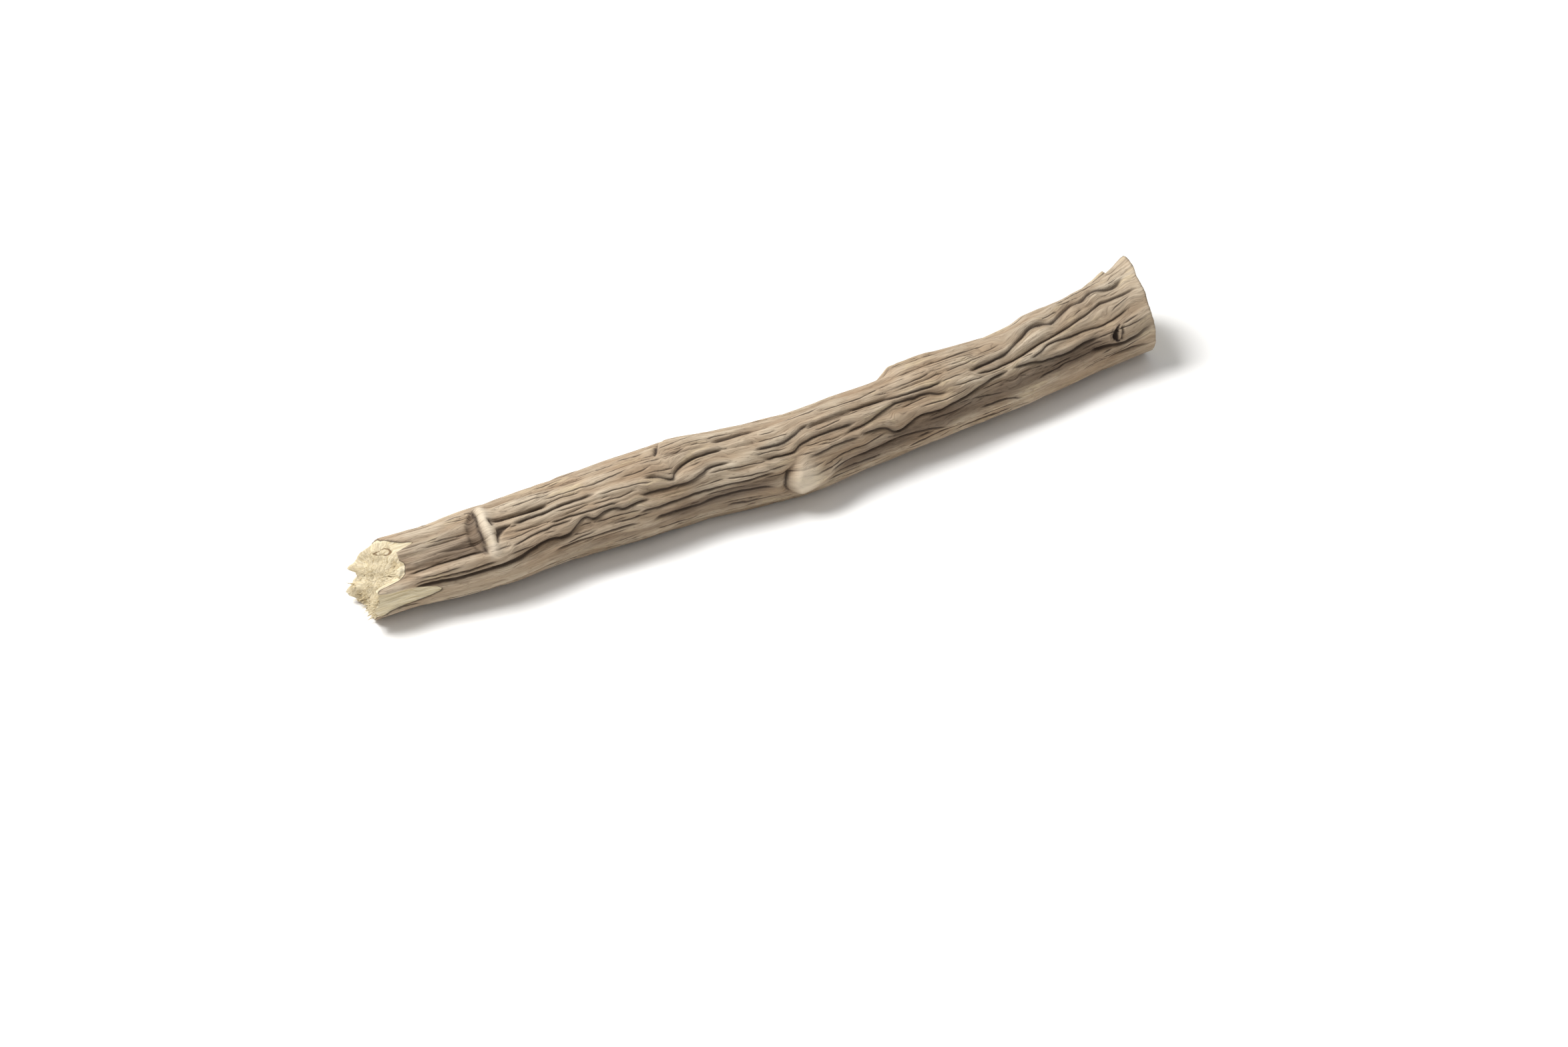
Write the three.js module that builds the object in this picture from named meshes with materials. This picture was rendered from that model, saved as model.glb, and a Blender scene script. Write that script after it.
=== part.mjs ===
// A dried licorice root: one unpeeled stick, lying on its side, with the bark on.
// Millimetres, +Z up. The stick runs along X, with the torn end at -X and the flared crown end at +X.
// A place on it is given as "along", in mm, and "round", in degrees from the top over towards the front, -Y.
import * as THREE from "three";
import { mergeVertices } from "three/addons/utils/BufferGeometryUtils.js";

const { clamp, lerp, smoothstep, degToRad, radToDeg } = THREE.MathUtils;

// Driving dimensions: girth, sideways bow and the gap under the stick, each as [along, mm].
const TORN_END = -82.7;
const CROWN_END = 86.3;
const RADIUS = [
  [-88, 7.3], [-74, 7.35], [-60, 7.85], [-46, 7.75], [-32, 8.05], [-16, 8.1], [0, 8], [12, 7.95],
  [24, 7.65], [36, 7.7], [50, 7.45], [60, 7.55], [70, 7.75], [79, 8.3], [88, 9.5],
];
const BOW = [
  [-88, 2.9], [-78, 2.8], [-68, 1.2], [-58, 0.3], [-46, 0.6], [-32, -0.2], [-16, -0.4], [-4, -2.2], [6, -3.1],
  [16, -2.7], [28, -2.3], [40, -1.7], [54, -1], [66, 0.6], [76, 2], [88, 2.9],
];
const LIFT = [[-88, 0.1], [-74, 0], [-40, 0.5], [-8, 0], [10, 0], [42, 0.6], [70, 0.2], [84, 0], [88, 0]];
const SETTLE = 0.3;
const WORN = 0.85;
const MIDDLE_X = -0.11;
const MIDDLE_Y = -0.42;
const MM_PER_DEGREE = degToRad(8);

// How finely the surface is divided: rows along the stick, closer beside the scar ring, the flake, the knob
// and the pit, and columns round it, closer where the bark faces up and to the front. The end faces have rings
// at these shares of the radius.
const ROWS = 97;
const COLUMNS = 46;
const CROWDED = [-62, -21, 0, 77];
const ROW_CROWDING = 0.45;
const CROWD_REACH = 4;
const COLUMN_CROWDING = 0.3;
const FRONT = 48;
const BREAK_RINGS = [0, 0.2, 0.4, 0.6, 0.78, 0.92];
const CROWN_RINGS = [0.93, 0.76, 0.5, 0.25, 0];

// The end faces are uneven, and the rows within this distance of them follow their edges.
const NEAR_TORN = -70;
const NEAR_CROWN = 74;

// The torn end: its break slopes back to the top, a tongue of bare wood stands out low at the front, and the
// frayed fibres stand out of it, most of all at the low rim. The bark tore back to the edge below.
const BREAK_SLOPE = 3.4;
const BREAK_TOP = 10;
const TONGUE_OUT = [
  [56, 0], [61, -0.4], [66, -4.6], [72, -4.2], [80, -4], [100, -3.5], [117, -2.3], [138, -0.4], [150, 0],
];
const TONGUE_DEPTH = 0.45;
const FRAY = 0.3;
const LOW_FRAY = 0.9;
const BARK_THICKNESS = 0.55;
const BARK_EDGE = [
  [-180, -85.4], [-135, -84.9], [-105, -84], [-75, -81.7], [-50, -80.2], [-30, -79.6], [-12, -79],
  [-3, -77.4], [3, -75.2], [11, -77.4], [20, -80.2], [27, -79.9], [34, -78.8], [45, -78.9], [53, -79.4],
  [61, -80.8], [66, -85.2], [73, -84.8], [78, -79.6], [83, -75.6], [87, -73.5], [93, -73], [99, -74],
  [106, -76.4], [110, -80], [115, -83], [125, -84.4], [150, -85.2], [180, -85.4],
];

// The crown end: cut nearly square, a little hollow, with a peak where the bark flares at the top.
const CUT_SLOPE = -1.2;
const CUT_FRONT = 50;
const CUT_HOLLOW = 0.6;
const CUT_PEAK = 1;
const FLARE = 0.5;
const FLARE_ROUND = -38;
const FLARE_SPREAD = 34;

// The scar ring: the line of its foot and the end of the notch behind it, as [round, along].
const RING_HEIGHT = 0.95;
const RING_WIDTH = 1.25;
const RING_FOOT = [[-25, -61.7], [0, -63.3], [30, -64.1], [60, -63.6]];
const RING_HOLLOW = 0.8;
const NOTCH_END = [[25, -59.8], [28, -57], [33, -58.4], [40, -59.8], [49, -60.6]];
const NOTCH_DEPTH = 0.6;

// The flake: its free end as [round, along], its lower edge as [along, round], and the notch before it.
const FLAKE_END = [[-45, -18.5], [-30, -20.8], [-16, -22], [-3, -23.2]];
const FLAKE_EDGE = [[-23, -4], [-21, 1], [-17, 6], [-10, 8]];
const FLAKE_HEIGHT = 0.5;
const FLAKE_NOTCH = 0.6;

// The snapped rootlet's knob, and the pit where another rootlet came away, with its line as [round, along].
const KNOB_HEIGHT = 2.1;
const KNOB_ROUND = 92;
const KNOB_TIP = -0.3;
const PIT_DEPTH = 1.3;
const PIT_LINE = [[56, 77.9], [60, 77.2], [66, 76.6], [72, 76.6], [79, 77.1]];

// Broad hollows between the main ridges: the line that each one follows, half its width in degrees and its
// depth.
const HOLLOWS = [
  { line: [[-27, 98], [-16, 94], [-8, 90], [-1, 86]], half: 13, depth: 0.3 },
  { line: [[8, 100], [20, 93], [30, 86], [45, 78], [56, 72], [66, 72], [76, 71]], half: 15, depth: 0.4 },
  { line: [[-50, 108], [-30, 106], [-10, 110], [-2, 116]], half: 9, depth: 0.1 },
];

// Long cracks in the bark: the line that each one follows as [along, round], its depth and half its width in
// mm. The plate of bark above a crack stands over the one below it, by these shares of the depth.
const STEP_UP = 0.3;
const STEP_DOWN = -0.25;
const STEP_REACH = 1.6;
const STEP_SOFT = 0.3;
const CRACKS = [
  {
    line: [
      [-79, 79], [-73, 78], [-67, 80], [-62, 80], [-57, 78], [-54, 73], [-50, 70], [-46, 72], [-44, 63],
      [-42, 56], [-40.5, 62], [-38, 57], [-36, 56], [-34.5, 60], [-31, 58], [-28, 60],
    ],
    depth: 1,
    width: 0.8,
  },
  { line: [[-79, 72], [-72, 72], [-67, 72], [-61, 70]], depth: 0.5, width: 0.6 },
  { line: [[-79, 57], [-75, 55], [-71, 52], [-67, 52], [-62, 54]], depth: 0.9, width: 0.6 },
  { line: [[-61, 9], [-57, 13], [-51, 16], [-47, 15]], depth: 1.1, width: 0.9 },
  { line: [[-60, 66], [-54, 68], [-50, 66], [-46, 68]], depth: 0.6, width: 0.6 },
  { line: [[-59, 59], [-53, 54], [-49, 53], [-44, 54]], depth: 0.6, width: 0.6 },
  { line: [[-57, 28], [-50, 29], [-44, 27], [-38, 28]], depth: 0.8, width: 0.8 },
  { line: [[-50, 47], [-42, 49], [-34, 50]], depth: 0.6, width: 0.7 },
  { line: [[-50, 90], [-42, 88], [-35, 86], [-31, 88]], depth: 0.6, width: 0.7 },
  {
    line: [[-29, 29], [-26, 32], [-23, 42], [-22, 35], [-20, 28], [-17, 23], [-14, 22], [-10, 22]],
    depth: 1,
    width: 0.7,
  },
  { line: [[-31, 48], [-25, 52], [-20, 53], [-17, 48], [-15, 43], [-10, 42]], depth: 0.9, width: 0.8 },
  { line: [[-32, 73], [-21, 73], [-14, 72], [-8, 72], [-2, 68]], depth: 0.7, width: 0.7 },
  { line: [[-29, 91], [-20, 95], [-14, 91], [-9, 88], [-2, 94]], depth: 0.7, width: 0.7 },
  { line: [[-13, 4], [-8, 0], [-2, -3]], depth: 0.7, width: 0.7 },
  { line: [[-6, 34], [0, 32], [3, 26], [6, 18], [11, 20], [18, 20]], depth: 0.8, width: 0.8 },
  { line: [[-5, 48], [2, 48], [4, 40], [7, 36], [11, 36], [17, 40]], depth: 0.8, width: 0.8 },
  { line: [[5, 21], [12, 18], [23, 20], [30, 28], [38, 30]], depth: 0.8, width: 0.7 },
  { line: [[4, 62], [10, 58], [17, 60]], depth: 0.6, width: 0.7 },
  { line: [[8, 86], [17, 91], [26, 88], [37, 101]], depth: 0.7, width: 0.7 },
  {
    line: [[13, 49], [18, 45], [23, 37], [26, 32], [30, 35], [33, 36], [35.5, 45], [38, 48]],
    depth: 0.8,
    width: 0.7,
  },
  {
    line: [[16, 56], [22, 61], [25, 74], [28, 70], [30, 66], [36, 68], [42, 62], [47, 52], [52, 48]],
    depth: 1,
    width: 0.8,
  },
  {
    line: [
      [43, 28], [49, 24], [53, 21], [56, 10], [60, -3], [63, -2], [65, 6], [68, -3], [71, -10],
      [73.5, -5], [76.3, -12], [78.5, -1], [80.5, 3], [84, -3],
    ],
    depth: 1,
    width: 0.8,
  },
  {
    line: [[44, 37], [48, 38], [54, 36], [59, 30], [67, 25], [73, 21], [76, 15], [79, 18], [85, 24]],
    depth: 0.8,
    width: 0.7,
  },
  { line: [[56, 46], [59, 43], [62, 37], [66, 40], [70, 42], [76, 48], [82, 40]], depth: 0.6, width: 0.7 },
  { line: [[52, 48], [56, 50], [60, 57], [66, 62], [70, 59], [74, 62]], depth: 1, width: 0.8 },
  { line: [[70, 76], [75, 80], [78, 83], [81, 83], [83, 78], [86, 72]], depth: 1.1, width: 0.8 },
  { line: [[74, 101], [79, 100], [85, 102]], depth: 0.6, width: 0.7 },
];

// Cracks on the side that the stick lies on and on its back: scattered the same way each time.
const BACK_CRACKS = 38;
const BACK_FROM = 126;
const BACK_TO = 314;
let seed = 4157;

function random() {
  seed = (seed * 16807) % 2147483647;
  return seed / 2147483647;
}

for (let i = 0; i < BACK_CRACKS; i += 1) {
  const start = lerp(-82, 62, random());
  const reach = lerp(14, 38, random());
  const round = lerp(BACK_FROM, BACK_TO, random());
  const drift = lerp(-9, 9, random());
  const wave = lerp(-8, 8, random());
  CRACKS.push({
    line: [[start, round], [start + 0.4 * reach, round + wave], [start + reach, round + drift]],
    depth: lerp(0.45, 0.75, random()),
    width: lerp(0.8, 1.1, random()),
  });
}

// Value of a smooth line through stations at a place: cubic between stations, level past the ends.
function through(stations, place) {
  const last = stations.length - 1;
  const at = clamp(place, stations[0][0], stations[last][0]);
  let i = 0;
  while (i < last - 1 && at > stations[i + 1][0]) i += 1;
  const slope = (j) => {
    const before = stations[Math.max(j - 1, 0)];
    const after = stations[Math.min(j + 1, last)];
    return (after[1] - before[1]) / (after[0] - before[0]);
  };
  const [from, start] = stations[i];
  const [to, end] = stations[i + 1];
  const span = to - from;
  const t = (at - from) / span;
  const bend = t * (1 - t) * span * ((1 - t) * slope(i) - t * slope(i + 1));
  return lerp(start, end, t * t * (3 - 2 * t)) + bend;
}

// Smallest turn between two places round the stick, -180 to 180 degrees.
function turn(round, other) {
  return THREE.MathUtils.euclideanModulo(round - other + 180, 360) - 180;
}

// Soft hump of height 1, a few units wide.
function hump(distance) {
  return Math.exp(-distance * distance);
}

// 1 between two places, easing to 0 over the given distance at each side.
function between(place, from, to, ease) {
  return smoothstep(place, from - ease, from + ease) * (1 - smoothstep(place, to - ease, to + ease));
}

// The stick isn't quite round: broad flutes wind along it, and low ridges of bark run with them.
function flutes(along, round) {
  const angle = degToRad(round);
  const broad = 0.2 * Math.sin(3 * angle + along / 24) + 0.12 * Math.sin(2 * angle - along / 17 + 1);
  const winding = 2 * Math.sin(along / 11) + 1.2 * Math.sin(along / 5.3 + 2 * angle);
  return broad + 0.2 * Math.sin(13 * angle + winding);
}

// A raised scar ring crosses the top near the torn end. A lens-shaped hollow lies at its foot, and a
// three-cornered notch behind it.
function scarRing(along, round) {
  const foot = through(RING_FOOT, round);
  const half = 0.15 + 0.9 * between(round, -12, 48, 14);
  const hollow = Math.exp(-(((along - foot) / half) ** 4)) * between(round, -20, 58, 5);
  const ring = hump((along - foot - half - 1.35) / RING_WIDTH) * between(round, -22, 62, 10);
  const notchEnd = through(NOTCH_END, round);
  const notchStart = -59.8 - 0.05 * (round - 26);
  const lengthwise = smoothstep(along, notchStart - 0.3, notchStart + 0.2)
    * (1 - smoothstep(along, notchEnd - 0.4, notchEnd + 0.3));
  const notch = lengthwise * between(round, 26, 48, 2.5);
  return RING_HEIGHT * ring - RING_HOLLOW * hollow - NOTCH_DEPTH * notch;
}

// Between the torn edge and the ring the bark has sunk, up to a sharp lower lip.
function sunkenBark(along, round) {
  const across = smoothstep(round, -20, 40) * (1 - smoothstep(round, 51, 56));
  const lengthwise = between(along, -79.5, -63, 1.5) * lerp(0.45, 0.8, smoothstep(along, -79, -64));
  const lip = 0.3 * between(along, -78, -52, 3) * hump(turn(round, 63) / 6);
  return lip - across * lengthwise;
}

// A snapped rootlet: a smooth rounded knob low on the front that points back to the torn end.
function knob(along, round) {
  const half = lerp(27, 14, smoothstep(along, 2, 14));
  const across = turn(round, KNOB_ROUND - 0.4 * Math.max(along, 0)) / half;
  const tip = KNOB_TIP + 1.8 * across * across;
  const body = smoothstep(along, tip - 0.4, tip + 1.9) * (1 - smoothstep(along, 3.5, 15));
  const sides = hump(across * Math.abs(across) ** 0.4);
  const crease = 0.5 * hump((along - tip + 0.5) / 0.6) * Math.exp(-((across / 0.9) ** 6));
  return KNOB_HEIGHT * body * sides - crease;
}

// A flake of bark stands up at the top: its free end slants across the stick, over a notch.
function flake(along, round) {
  const past = along - through(FLAKE_END, round);
  const over = smoothstep(past, -0.3, 0.9) * (1 - smoothstep(turn(round, through(FLAKE_EDGE, along)), -3, 5));
  const raised = over * (1 - smoothstep(along, -19, -9)) * hump(turn(round, -17) / 24);
  const notch = hump((past + 0.3) / 0.7) * between(round, -38, -6, 6);
  return FLAKE_HEIGHT * raised - FLAKE_NOTCH * notch;
}

// The bark steps up on the top at mid length, and again as a shoulder before the crown.
function shoulders(along, round) {
  const ledge = smoothstep(along, 27, 31) * (1 - smoothstep(along, 31, 58)) * hump(turn(round, -47) / 27);
  const rise = smoothstep(along, 58.5, 62) * (1 - smoothstep(along, 63, 71));
  const shoulder = rise * hump(turn(round, -43) / 24);
  const nick = hump((along - 80) / 1.1) * hump(turn(round, -44) / 16);
  return 1.45 * ledge + 0.45 * shoulder - 0.55 * nick;
}

// The scar of a rootlet that came away: a crescent pit near the crown, with a lip.
function pit(along, round) {
  const half = 0.3 + 0.42 * hump((round - 67) / 8);
  const hole = Math.exp(-(((along - through(PIT_LINE, round)) / half) ** 4)) * between(round, 57, 79, 2);
  return 0.4 * hump((along - 77.2) / 2.4) * hump((round - 67) / 20) - PIT_DEPTH * hole;
}

// How strongly the top of the crown end flares at a place round.
function flared(round) {
  return hump(turn(round, FLARE_ROUND) / FLARE_SPREAD);
}

// How deep the broad hollows are at a place.
function hollowed(along, round) {
  let depth = 0;
  for (const hollow of HOLLOWS) {
    const start = hollow.line[0][0];
    const end = hollow.line[hollow.line.length - 1][0];
    const off = turn(round, through(hollow.line, along)) / hollow.half;
    depth += hollow.depth * between(along, start + 2, end - 2, 4) * Math.exp(-(off ** 4));
  }
  return depth;
}

// What the cracks do to the bark at a place: each one cuts in, between a higher plate and a lower one.
function cracked(along, round) {
  let deepest = 0;
  let step = 0;
  for (const { line, depth, width } of CRACKS) {
    const start = line[0][0];
    const end = line[line.length - 1][0];
    const soft = Math.min(2.5, 0.3 * (end - start));
    const open = smoothstep(along, start, start + soft) * (1 - smoothstep(along, end - soft, end));
    if (open > 0) {
      const course = through(line, along);
      const lean = ((through(line, along + 0.1) - course) / 0.1) * MM_PER_DEGREE;
      const below = (turn(round, course) * MM_PER_DEGREE) / Math.hypot(1, lean);
      const off = Math.abs(below);
      const share = lerp(STEP_UP, STEP_DOWN, smoothstep(below, -STEP_SOFT, STEP_SOFT));
      deepest = Math.max(deepest, depth * open * Math.exp(-off / width));
      step += share * depth * open * Math.exp(-off / STEP_REACH);
    }
  }
  return step - deepest;
}

// The bark's relief over the smooth stick. Past the bark's torn edge the wood lies lower.
function relief(along, round) {
  const facing = turn(round, 0);
  const edge = through(BARK_EDGE, facing);
  const bare = 1 - smoothstep(along, edge - 0.3, edge + 0.5);
  const raised = scarRing(along, facing) + knob(along, facing) + flake(along, facing)
    + shoulders(along, facing) + pit(along, facing) + FLARE * smoothstep(along, 80, 88) * flared(facing);
  const sunk = sunkenBark(along, facing) + cracked(along, facing) - hollowed(along, facing);
  const bark = flutes(along, facing) + raised + sunk;
  const skin = lerp(bark, 0.4 * flutes(along, facing) - BARK_THICKNESS, bare);
  return skin * (1 - WORN * hump(turn(round, 180) / 18));
}

// The face of the break at a place across it: inwards is 0 at the heart and 1 at the rim.
function breakFace(inwards, round) {
  const facing = turn(round, 0);
  const slope = BREAK_SLOPE * inwards * Math.cos(degToRad(facing - BREAK_TOP));
  const tongue = through(TONGUE_OUT, facing) * smoothstep(inwards, TONGUE_DEPTH, 0.95);
  const angle = degToRad(facing);
  const front = inwards * Math.sin(angle);
  const up = inwards * Math.cos(angle);
  const steps = 0.2 * Math.sin(9 * front + 5 * up) + 0.15 * Math.sin(13 * up - 6 * front + 1);
  const low = smoothstep(inwards, 0.7, 1) * (1 - smoothstep(up, -0.4, 0.5));
  const teeth = 0.6 * Math.sin(9 * angle + 1) * low;
  return TORN_END + slope + tongue + steps + teeth - FRAY - LOW_FRAY * low;
}

// The face of the crown end in the same way.
function crownFace(inwards, round) {
  const angle = degToRad(round);
  const slope = CUT_SLOPE * inwards * Math.cos(degToRad(turn(round, CUT_FRONT)));
  const peak = CUT_PEAK * flared(round) * inwards ** 2;
  const chips = (0.1 * Math.sin(3 * angle + 1) + 0.05 * Math.sin(8 * angle + 3)) * inwards ** 3;
  return CROWN_END + slope + peak - CUT_HOLLOW * (1 - inwards ** 2) + chips;
}

// The finished place of a point of the plain lathed form: its mark along the stick, how far it is out from
// the heart, 0 to 1, and its place round. What would go below the surface that the stick lies on is worn
// flat.
function shaped(mark, inwards, round) {
  const face = mark < 0 ? breakFace : crownFace;
  const near = mark < 0 ? NEAR_TORN : NEAR_CROWN;
  const end = mark < 0 ? TORN_END : CROWN_END;
  const stretched = Math.abs(mark) > Math.abs(near);
  const along = stretched ? lerp(near, face(inwards, round), (mark - near) / (end - near)) : mark;
  const rim = inwards < 1 ? face(1, round) : along;
  const radius = inwards * (through(RADIUS, rim) + relief(rim, round));
  const angle = degToRad(round);
  const across = through(BOW, along) - radius * Math.sin(angle);
  const height = through(RADIUS, along) - SETTLE + through(LIFT, along) + radius * Math.cos(angle);
  return new THREE.Vector3(along - MIDDLE_X, across - MIDDLE_Y, Math.max(height, 0));
}

// The plain form is lathed with a radius of 1 round a line from the torn end to the crown end.
function plainForm() {
  const profile = [];
  for (const inwards of BREAK_RINGS) profile.push(new THREE.Vector2(inwards, TORN_END));
  for (let row = 0; row < ROWS; row += 1) {
    let mark = lerp(TORN_END, CROWN_END, row / (ROWS - 1));
    for (const place of CROWDED) mark -= ROW_CROWDING * (mark - place) * hump((mark - place) / CROWD_REACH);
    profile.push(new THREE.Vector2(1, mark));
  }
  for (const inwards of CROWN_RINGS) profile.push(new THREE.Vector2(inwards, CROWN_END));
  const lathed = new THREE.LatheGeometry(profile, COLUMNS);
  lathed.deleteAttribute("normal");
  lathed.deleteAttribute("uv");
  return mergeVertices(lathed, 1e-5);
}

// Every point of the plain form goes to its finished place. Triangles with two corners in one, at the two
// hearts, are left out.
function rootGeometry() {
  const geometry = plainForm();
  const points = geometry.getAttribute("position");
  for (let i = 0; i < points.count; i += 1) {
    const inwards = Math.min(Math.hypot(points.getX(i), points.getZ(i)), 1);
    const even = Math.atan2(points.getX(i), points.getZ(i));
    const round = radToDeg(even - COLUMN_CROWDING * Math.sin(even - degToRad(FRONT)));
    const place = shaped(points.getY(i), inwards > 0.999 ? 1 : inwards, round);
    points.setXYZ(i, place.x, place.y, place.z);
  }
  const corners = geometry.getIndex().array;
  const kept = [];
  for (let i = 0; i < corners.length; i += 3) {
    const [a, b, c] = [corners[i], corners[i + 1], corners[i + 2]];
    if (a !== b && b !== c && c !== a) kept.push(a, b, c);
  }
  geometry.setIndex(kept);
  geometry.computeVertexNormals();
  return geometry;
}

const bark = new THREE.MeshStandardMaterial({ color: 0xaf9b82, roughness: 0.85, metalness: 0 });
const root = new THREE.Mesh(rootGeometry(), bark);
root.name = "licorice_root";

const part = new THREE.Group();
part.add(root);

export default part;
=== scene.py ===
# The looks of a dried licorice root: one unpeeled stick that lies on its side on a pale surface.
# Sizes are in mm until a mesh is made. "Along" runs from the torn end, -X, to the crown end, +X, and
# "around" is in degrees from the top over towards the front, -Y.
import math

import bmesh
import bpy
import numpy as np
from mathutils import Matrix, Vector, noise


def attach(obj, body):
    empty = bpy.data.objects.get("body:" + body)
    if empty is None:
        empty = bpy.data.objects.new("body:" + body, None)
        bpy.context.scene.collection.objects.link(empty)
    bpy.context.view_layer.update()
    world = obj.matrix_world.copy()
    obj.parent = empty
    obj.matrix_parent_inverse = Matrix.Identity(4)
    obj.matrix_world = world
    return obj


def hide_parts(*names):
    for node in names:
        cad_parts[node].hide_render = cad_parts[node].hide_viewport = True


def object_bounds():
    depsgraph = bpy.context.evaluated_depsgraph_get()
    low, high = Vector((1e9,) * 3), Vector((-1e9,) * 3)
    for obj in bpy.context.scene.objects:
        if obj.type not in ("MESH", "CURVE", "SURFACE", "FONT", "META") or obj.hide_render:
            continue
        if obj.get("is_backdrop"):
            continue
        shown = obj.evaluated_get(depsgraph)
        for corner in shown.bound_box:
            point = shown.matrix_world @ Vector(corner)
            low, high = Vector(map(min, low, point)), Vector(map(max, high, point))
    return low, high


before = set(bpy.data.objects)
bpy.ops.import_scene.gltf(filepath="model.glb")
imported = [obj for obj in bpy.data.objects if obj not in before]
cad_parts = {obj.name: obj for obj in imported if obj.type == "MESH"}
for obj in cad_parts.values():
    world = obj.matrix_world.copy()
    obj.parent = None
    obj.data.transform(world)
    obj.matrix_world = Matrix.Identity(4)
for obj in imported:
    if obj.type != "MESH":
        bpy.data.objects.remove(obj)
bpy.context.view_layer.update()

# The stick.
# One root grew as one piece, wood and bark together: a bent stick as thick as a finger, a little flared
# at the crown. It starts as a plain round bar with ringed ends, which is then shaped.
MM = 0.001
TORN_END = -82.7
CROWN_END = 86.3
RADIUS = [
    (-88, 7.3), (-74, 7.35), (-60, 7.85), (-46, 7.75), (-32, 8.05), (-16, 8.1), (0, 8), (12, 7.95),
    (24, 7.65), (36, 7.7), (50, 7.45), (60, 7.55), (70, 7.75), (79, 8.3), (88, 9.5),
]
BOW = [
    (-88, 2.9), (-78, 2.8), (-68, 1.2), (-58, 0.3), (-46, 0.6), (-32, -0.2), (-16, -0.4), (-4, -2.2),
    (6, -3.1), (16, -2.7), (28, -2.3), (40, -1.7), (54, -1), (66, 0.6), (76, 2), (88, 2.9),
]
LIFT = [(-88, 0.1), (-74, 0), (-40, 0.5), (-8, 0), (10, 0), (42, 0.6), (70, 0.2), (84, 0), (88, 0)]
SETTLE = 0.3
WORN = 0.85
MIDDLE = np.array([-0.11, -0.42, 0])
MEAN_RADIUS = 8
MM_PER_DEGREE = math.radians(MEAN_RADIUS)
COLUMNS = 216
COLUMN_CROWDING = 0.3
CROWDED = [-62, -21, 0, 77]
ROW_CROWDING = 0.45
CROWD_REACH = 4
FRONT = math.radians(48)
STRETCHES = 12
TORN_CUTS = 56
CUTS = 30
BREAK_RINGS = 30
CROWN_RINGS = 20
UNCUT = 2


def pick(kind, test):
    """Selects the faces or the edges of the mesh in edit mode that pass a test, and nothing else."""
    bpy.ops.mesh.select_all(action="DESELECT")
    shape = bmesh.from_edit_mesh(bpy.context.object.data)
    for item in getattr(shape, kind):
        if test(item):
            item.select_set(True)
    bmesh.update_edit_mesh(bpy.context.object.data)


def lengthwise(edge):
    """True for an edge that runs along the stick and isn't cut up yet."""
    run = edge.verts[1].co - edge.verts[0].co
    return abs(run.x) > 0.5 * run.length and abs(run.x) > UNCUT * MM


bpy.ops.object.select_all(action="DESELECT")
bpy.ops.mesh.primitive_cylinder_add(
    vertices=COLUMNS, radius=MEAN_RADIUS * MM, depth=(CROWN_END - TORN_END) * MM, end_fill_type="NGON",
    location=((TORN_END + CROWN_END) / 2 * MM, 0, 0), rotation=(0, math.pi / 2, 0))
stick = bpy.context.object
stick.name = "root_stick"
bpy.ops.object.transform_apply(location=True, rotation=True, scale=True)
bpy.ops.object.mode_set(mode="EDIT")
bpy.ops.mesh.select_mode(type="FACE")
for end, rings in ((TORN_END, BREAK_RINGS), (CROWN_END, CROWN_RINGS)):
    pick("faces", lambda face: len(face.verts) > 4 and face.calc_center_median().x * end > 0)
    for _ in range(rings - 1):
        bpy.ops.mesh.inset(thickness=MEAN_RADIUS * MM / rings)
    bpy.ops.mesh.poke()
bpy.ops.mesh.select_mode(type="EDGE")
pick("edges", lengthwise)
bpy.ops.mesh.subdivide(number_cuts=STRETCHES - 1)
first_stretch = (TORN_END + (CROWN_END - TORN_END) / STRETCHES + 1) * MM
pick("edges", lambda edge: lengthwise(edge) and max(vert.co.x for vert in edge.verts) < first_stretch)
bpy.ops.mesh.subdivide(number_cuts=TORN_CUTS)
pick("edges", lengthwise)
bpy.ops.mesh.subdivide(number_cuts=CUTS)
bpy.ops.object.mode_set(mode="OBJECT")


def through(stations, place):
    """Value of a smooth line through stations at each place: cubic between them, level past the ends."""
    at, value = np.array(stations, float).T
    slope = np.gradient(value, at)
    slope[1:-1] = (value[2:] - value[:-2]) / (at[2:] - at[:-2])
    place = np.clip(place, at[0], at[-1])
    i = np.clip(np.searchsorted(at, place) - 1, 0, len(at) - 2)
    span = at[i + 1] - at[i]
    t = (place - at[i]) / span
    bend = t * (1 - t) * span * ((1 - t) * slope[i] - t * slope[i + 1])
    return value[i] + (value[i + 1] - value[i]) * t * t * (3 - 2 * t) + bend


def turn(around, other):
    """Smallest turn between two places round the stick, -180 to 180 degrees."""
    return (around - other + 180) % 360 - 180


def hump(distance):
    """Soft hump of height 1, a few units wide."""
    return np.exp(-distance * distance)


def ease(place, start, end):
    """0 before start, 1 past end, easing between them."""
    t = np.clip((place - start) / (end - start), 0, 1)
    return t * t * (3 - 2 * t)


def between(place, start, end, soft):
    """1 between two places, easing to 0 over a distance at each side."""
    return ease(place, start - soft, start + soft) * (1 - ease(place, end - soft, end + soft))


def lerp(start, end, share):
    """The value at a share of the way from start to end."""
    return start + (end - start) * share


def straightened(along, around, inwards):
    """The place on a straight bar of the mean girth, on which a pattern has no seam."""
    angle = np.radians(around)
    radius = MEAN_RADIUS * inwards
    return np.stack([along, -radius * np.sin(angle), radius * np.cos(angle)], -1)


def clouds(places, long, wide, shift=0):
    """Smooth noise, -1 to 1, in patches of the given length along the stick and width across it."""
    return np.array([noise.noise(place) for place in (places / (long, wide, wide) + shift).tolist()])


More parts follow.
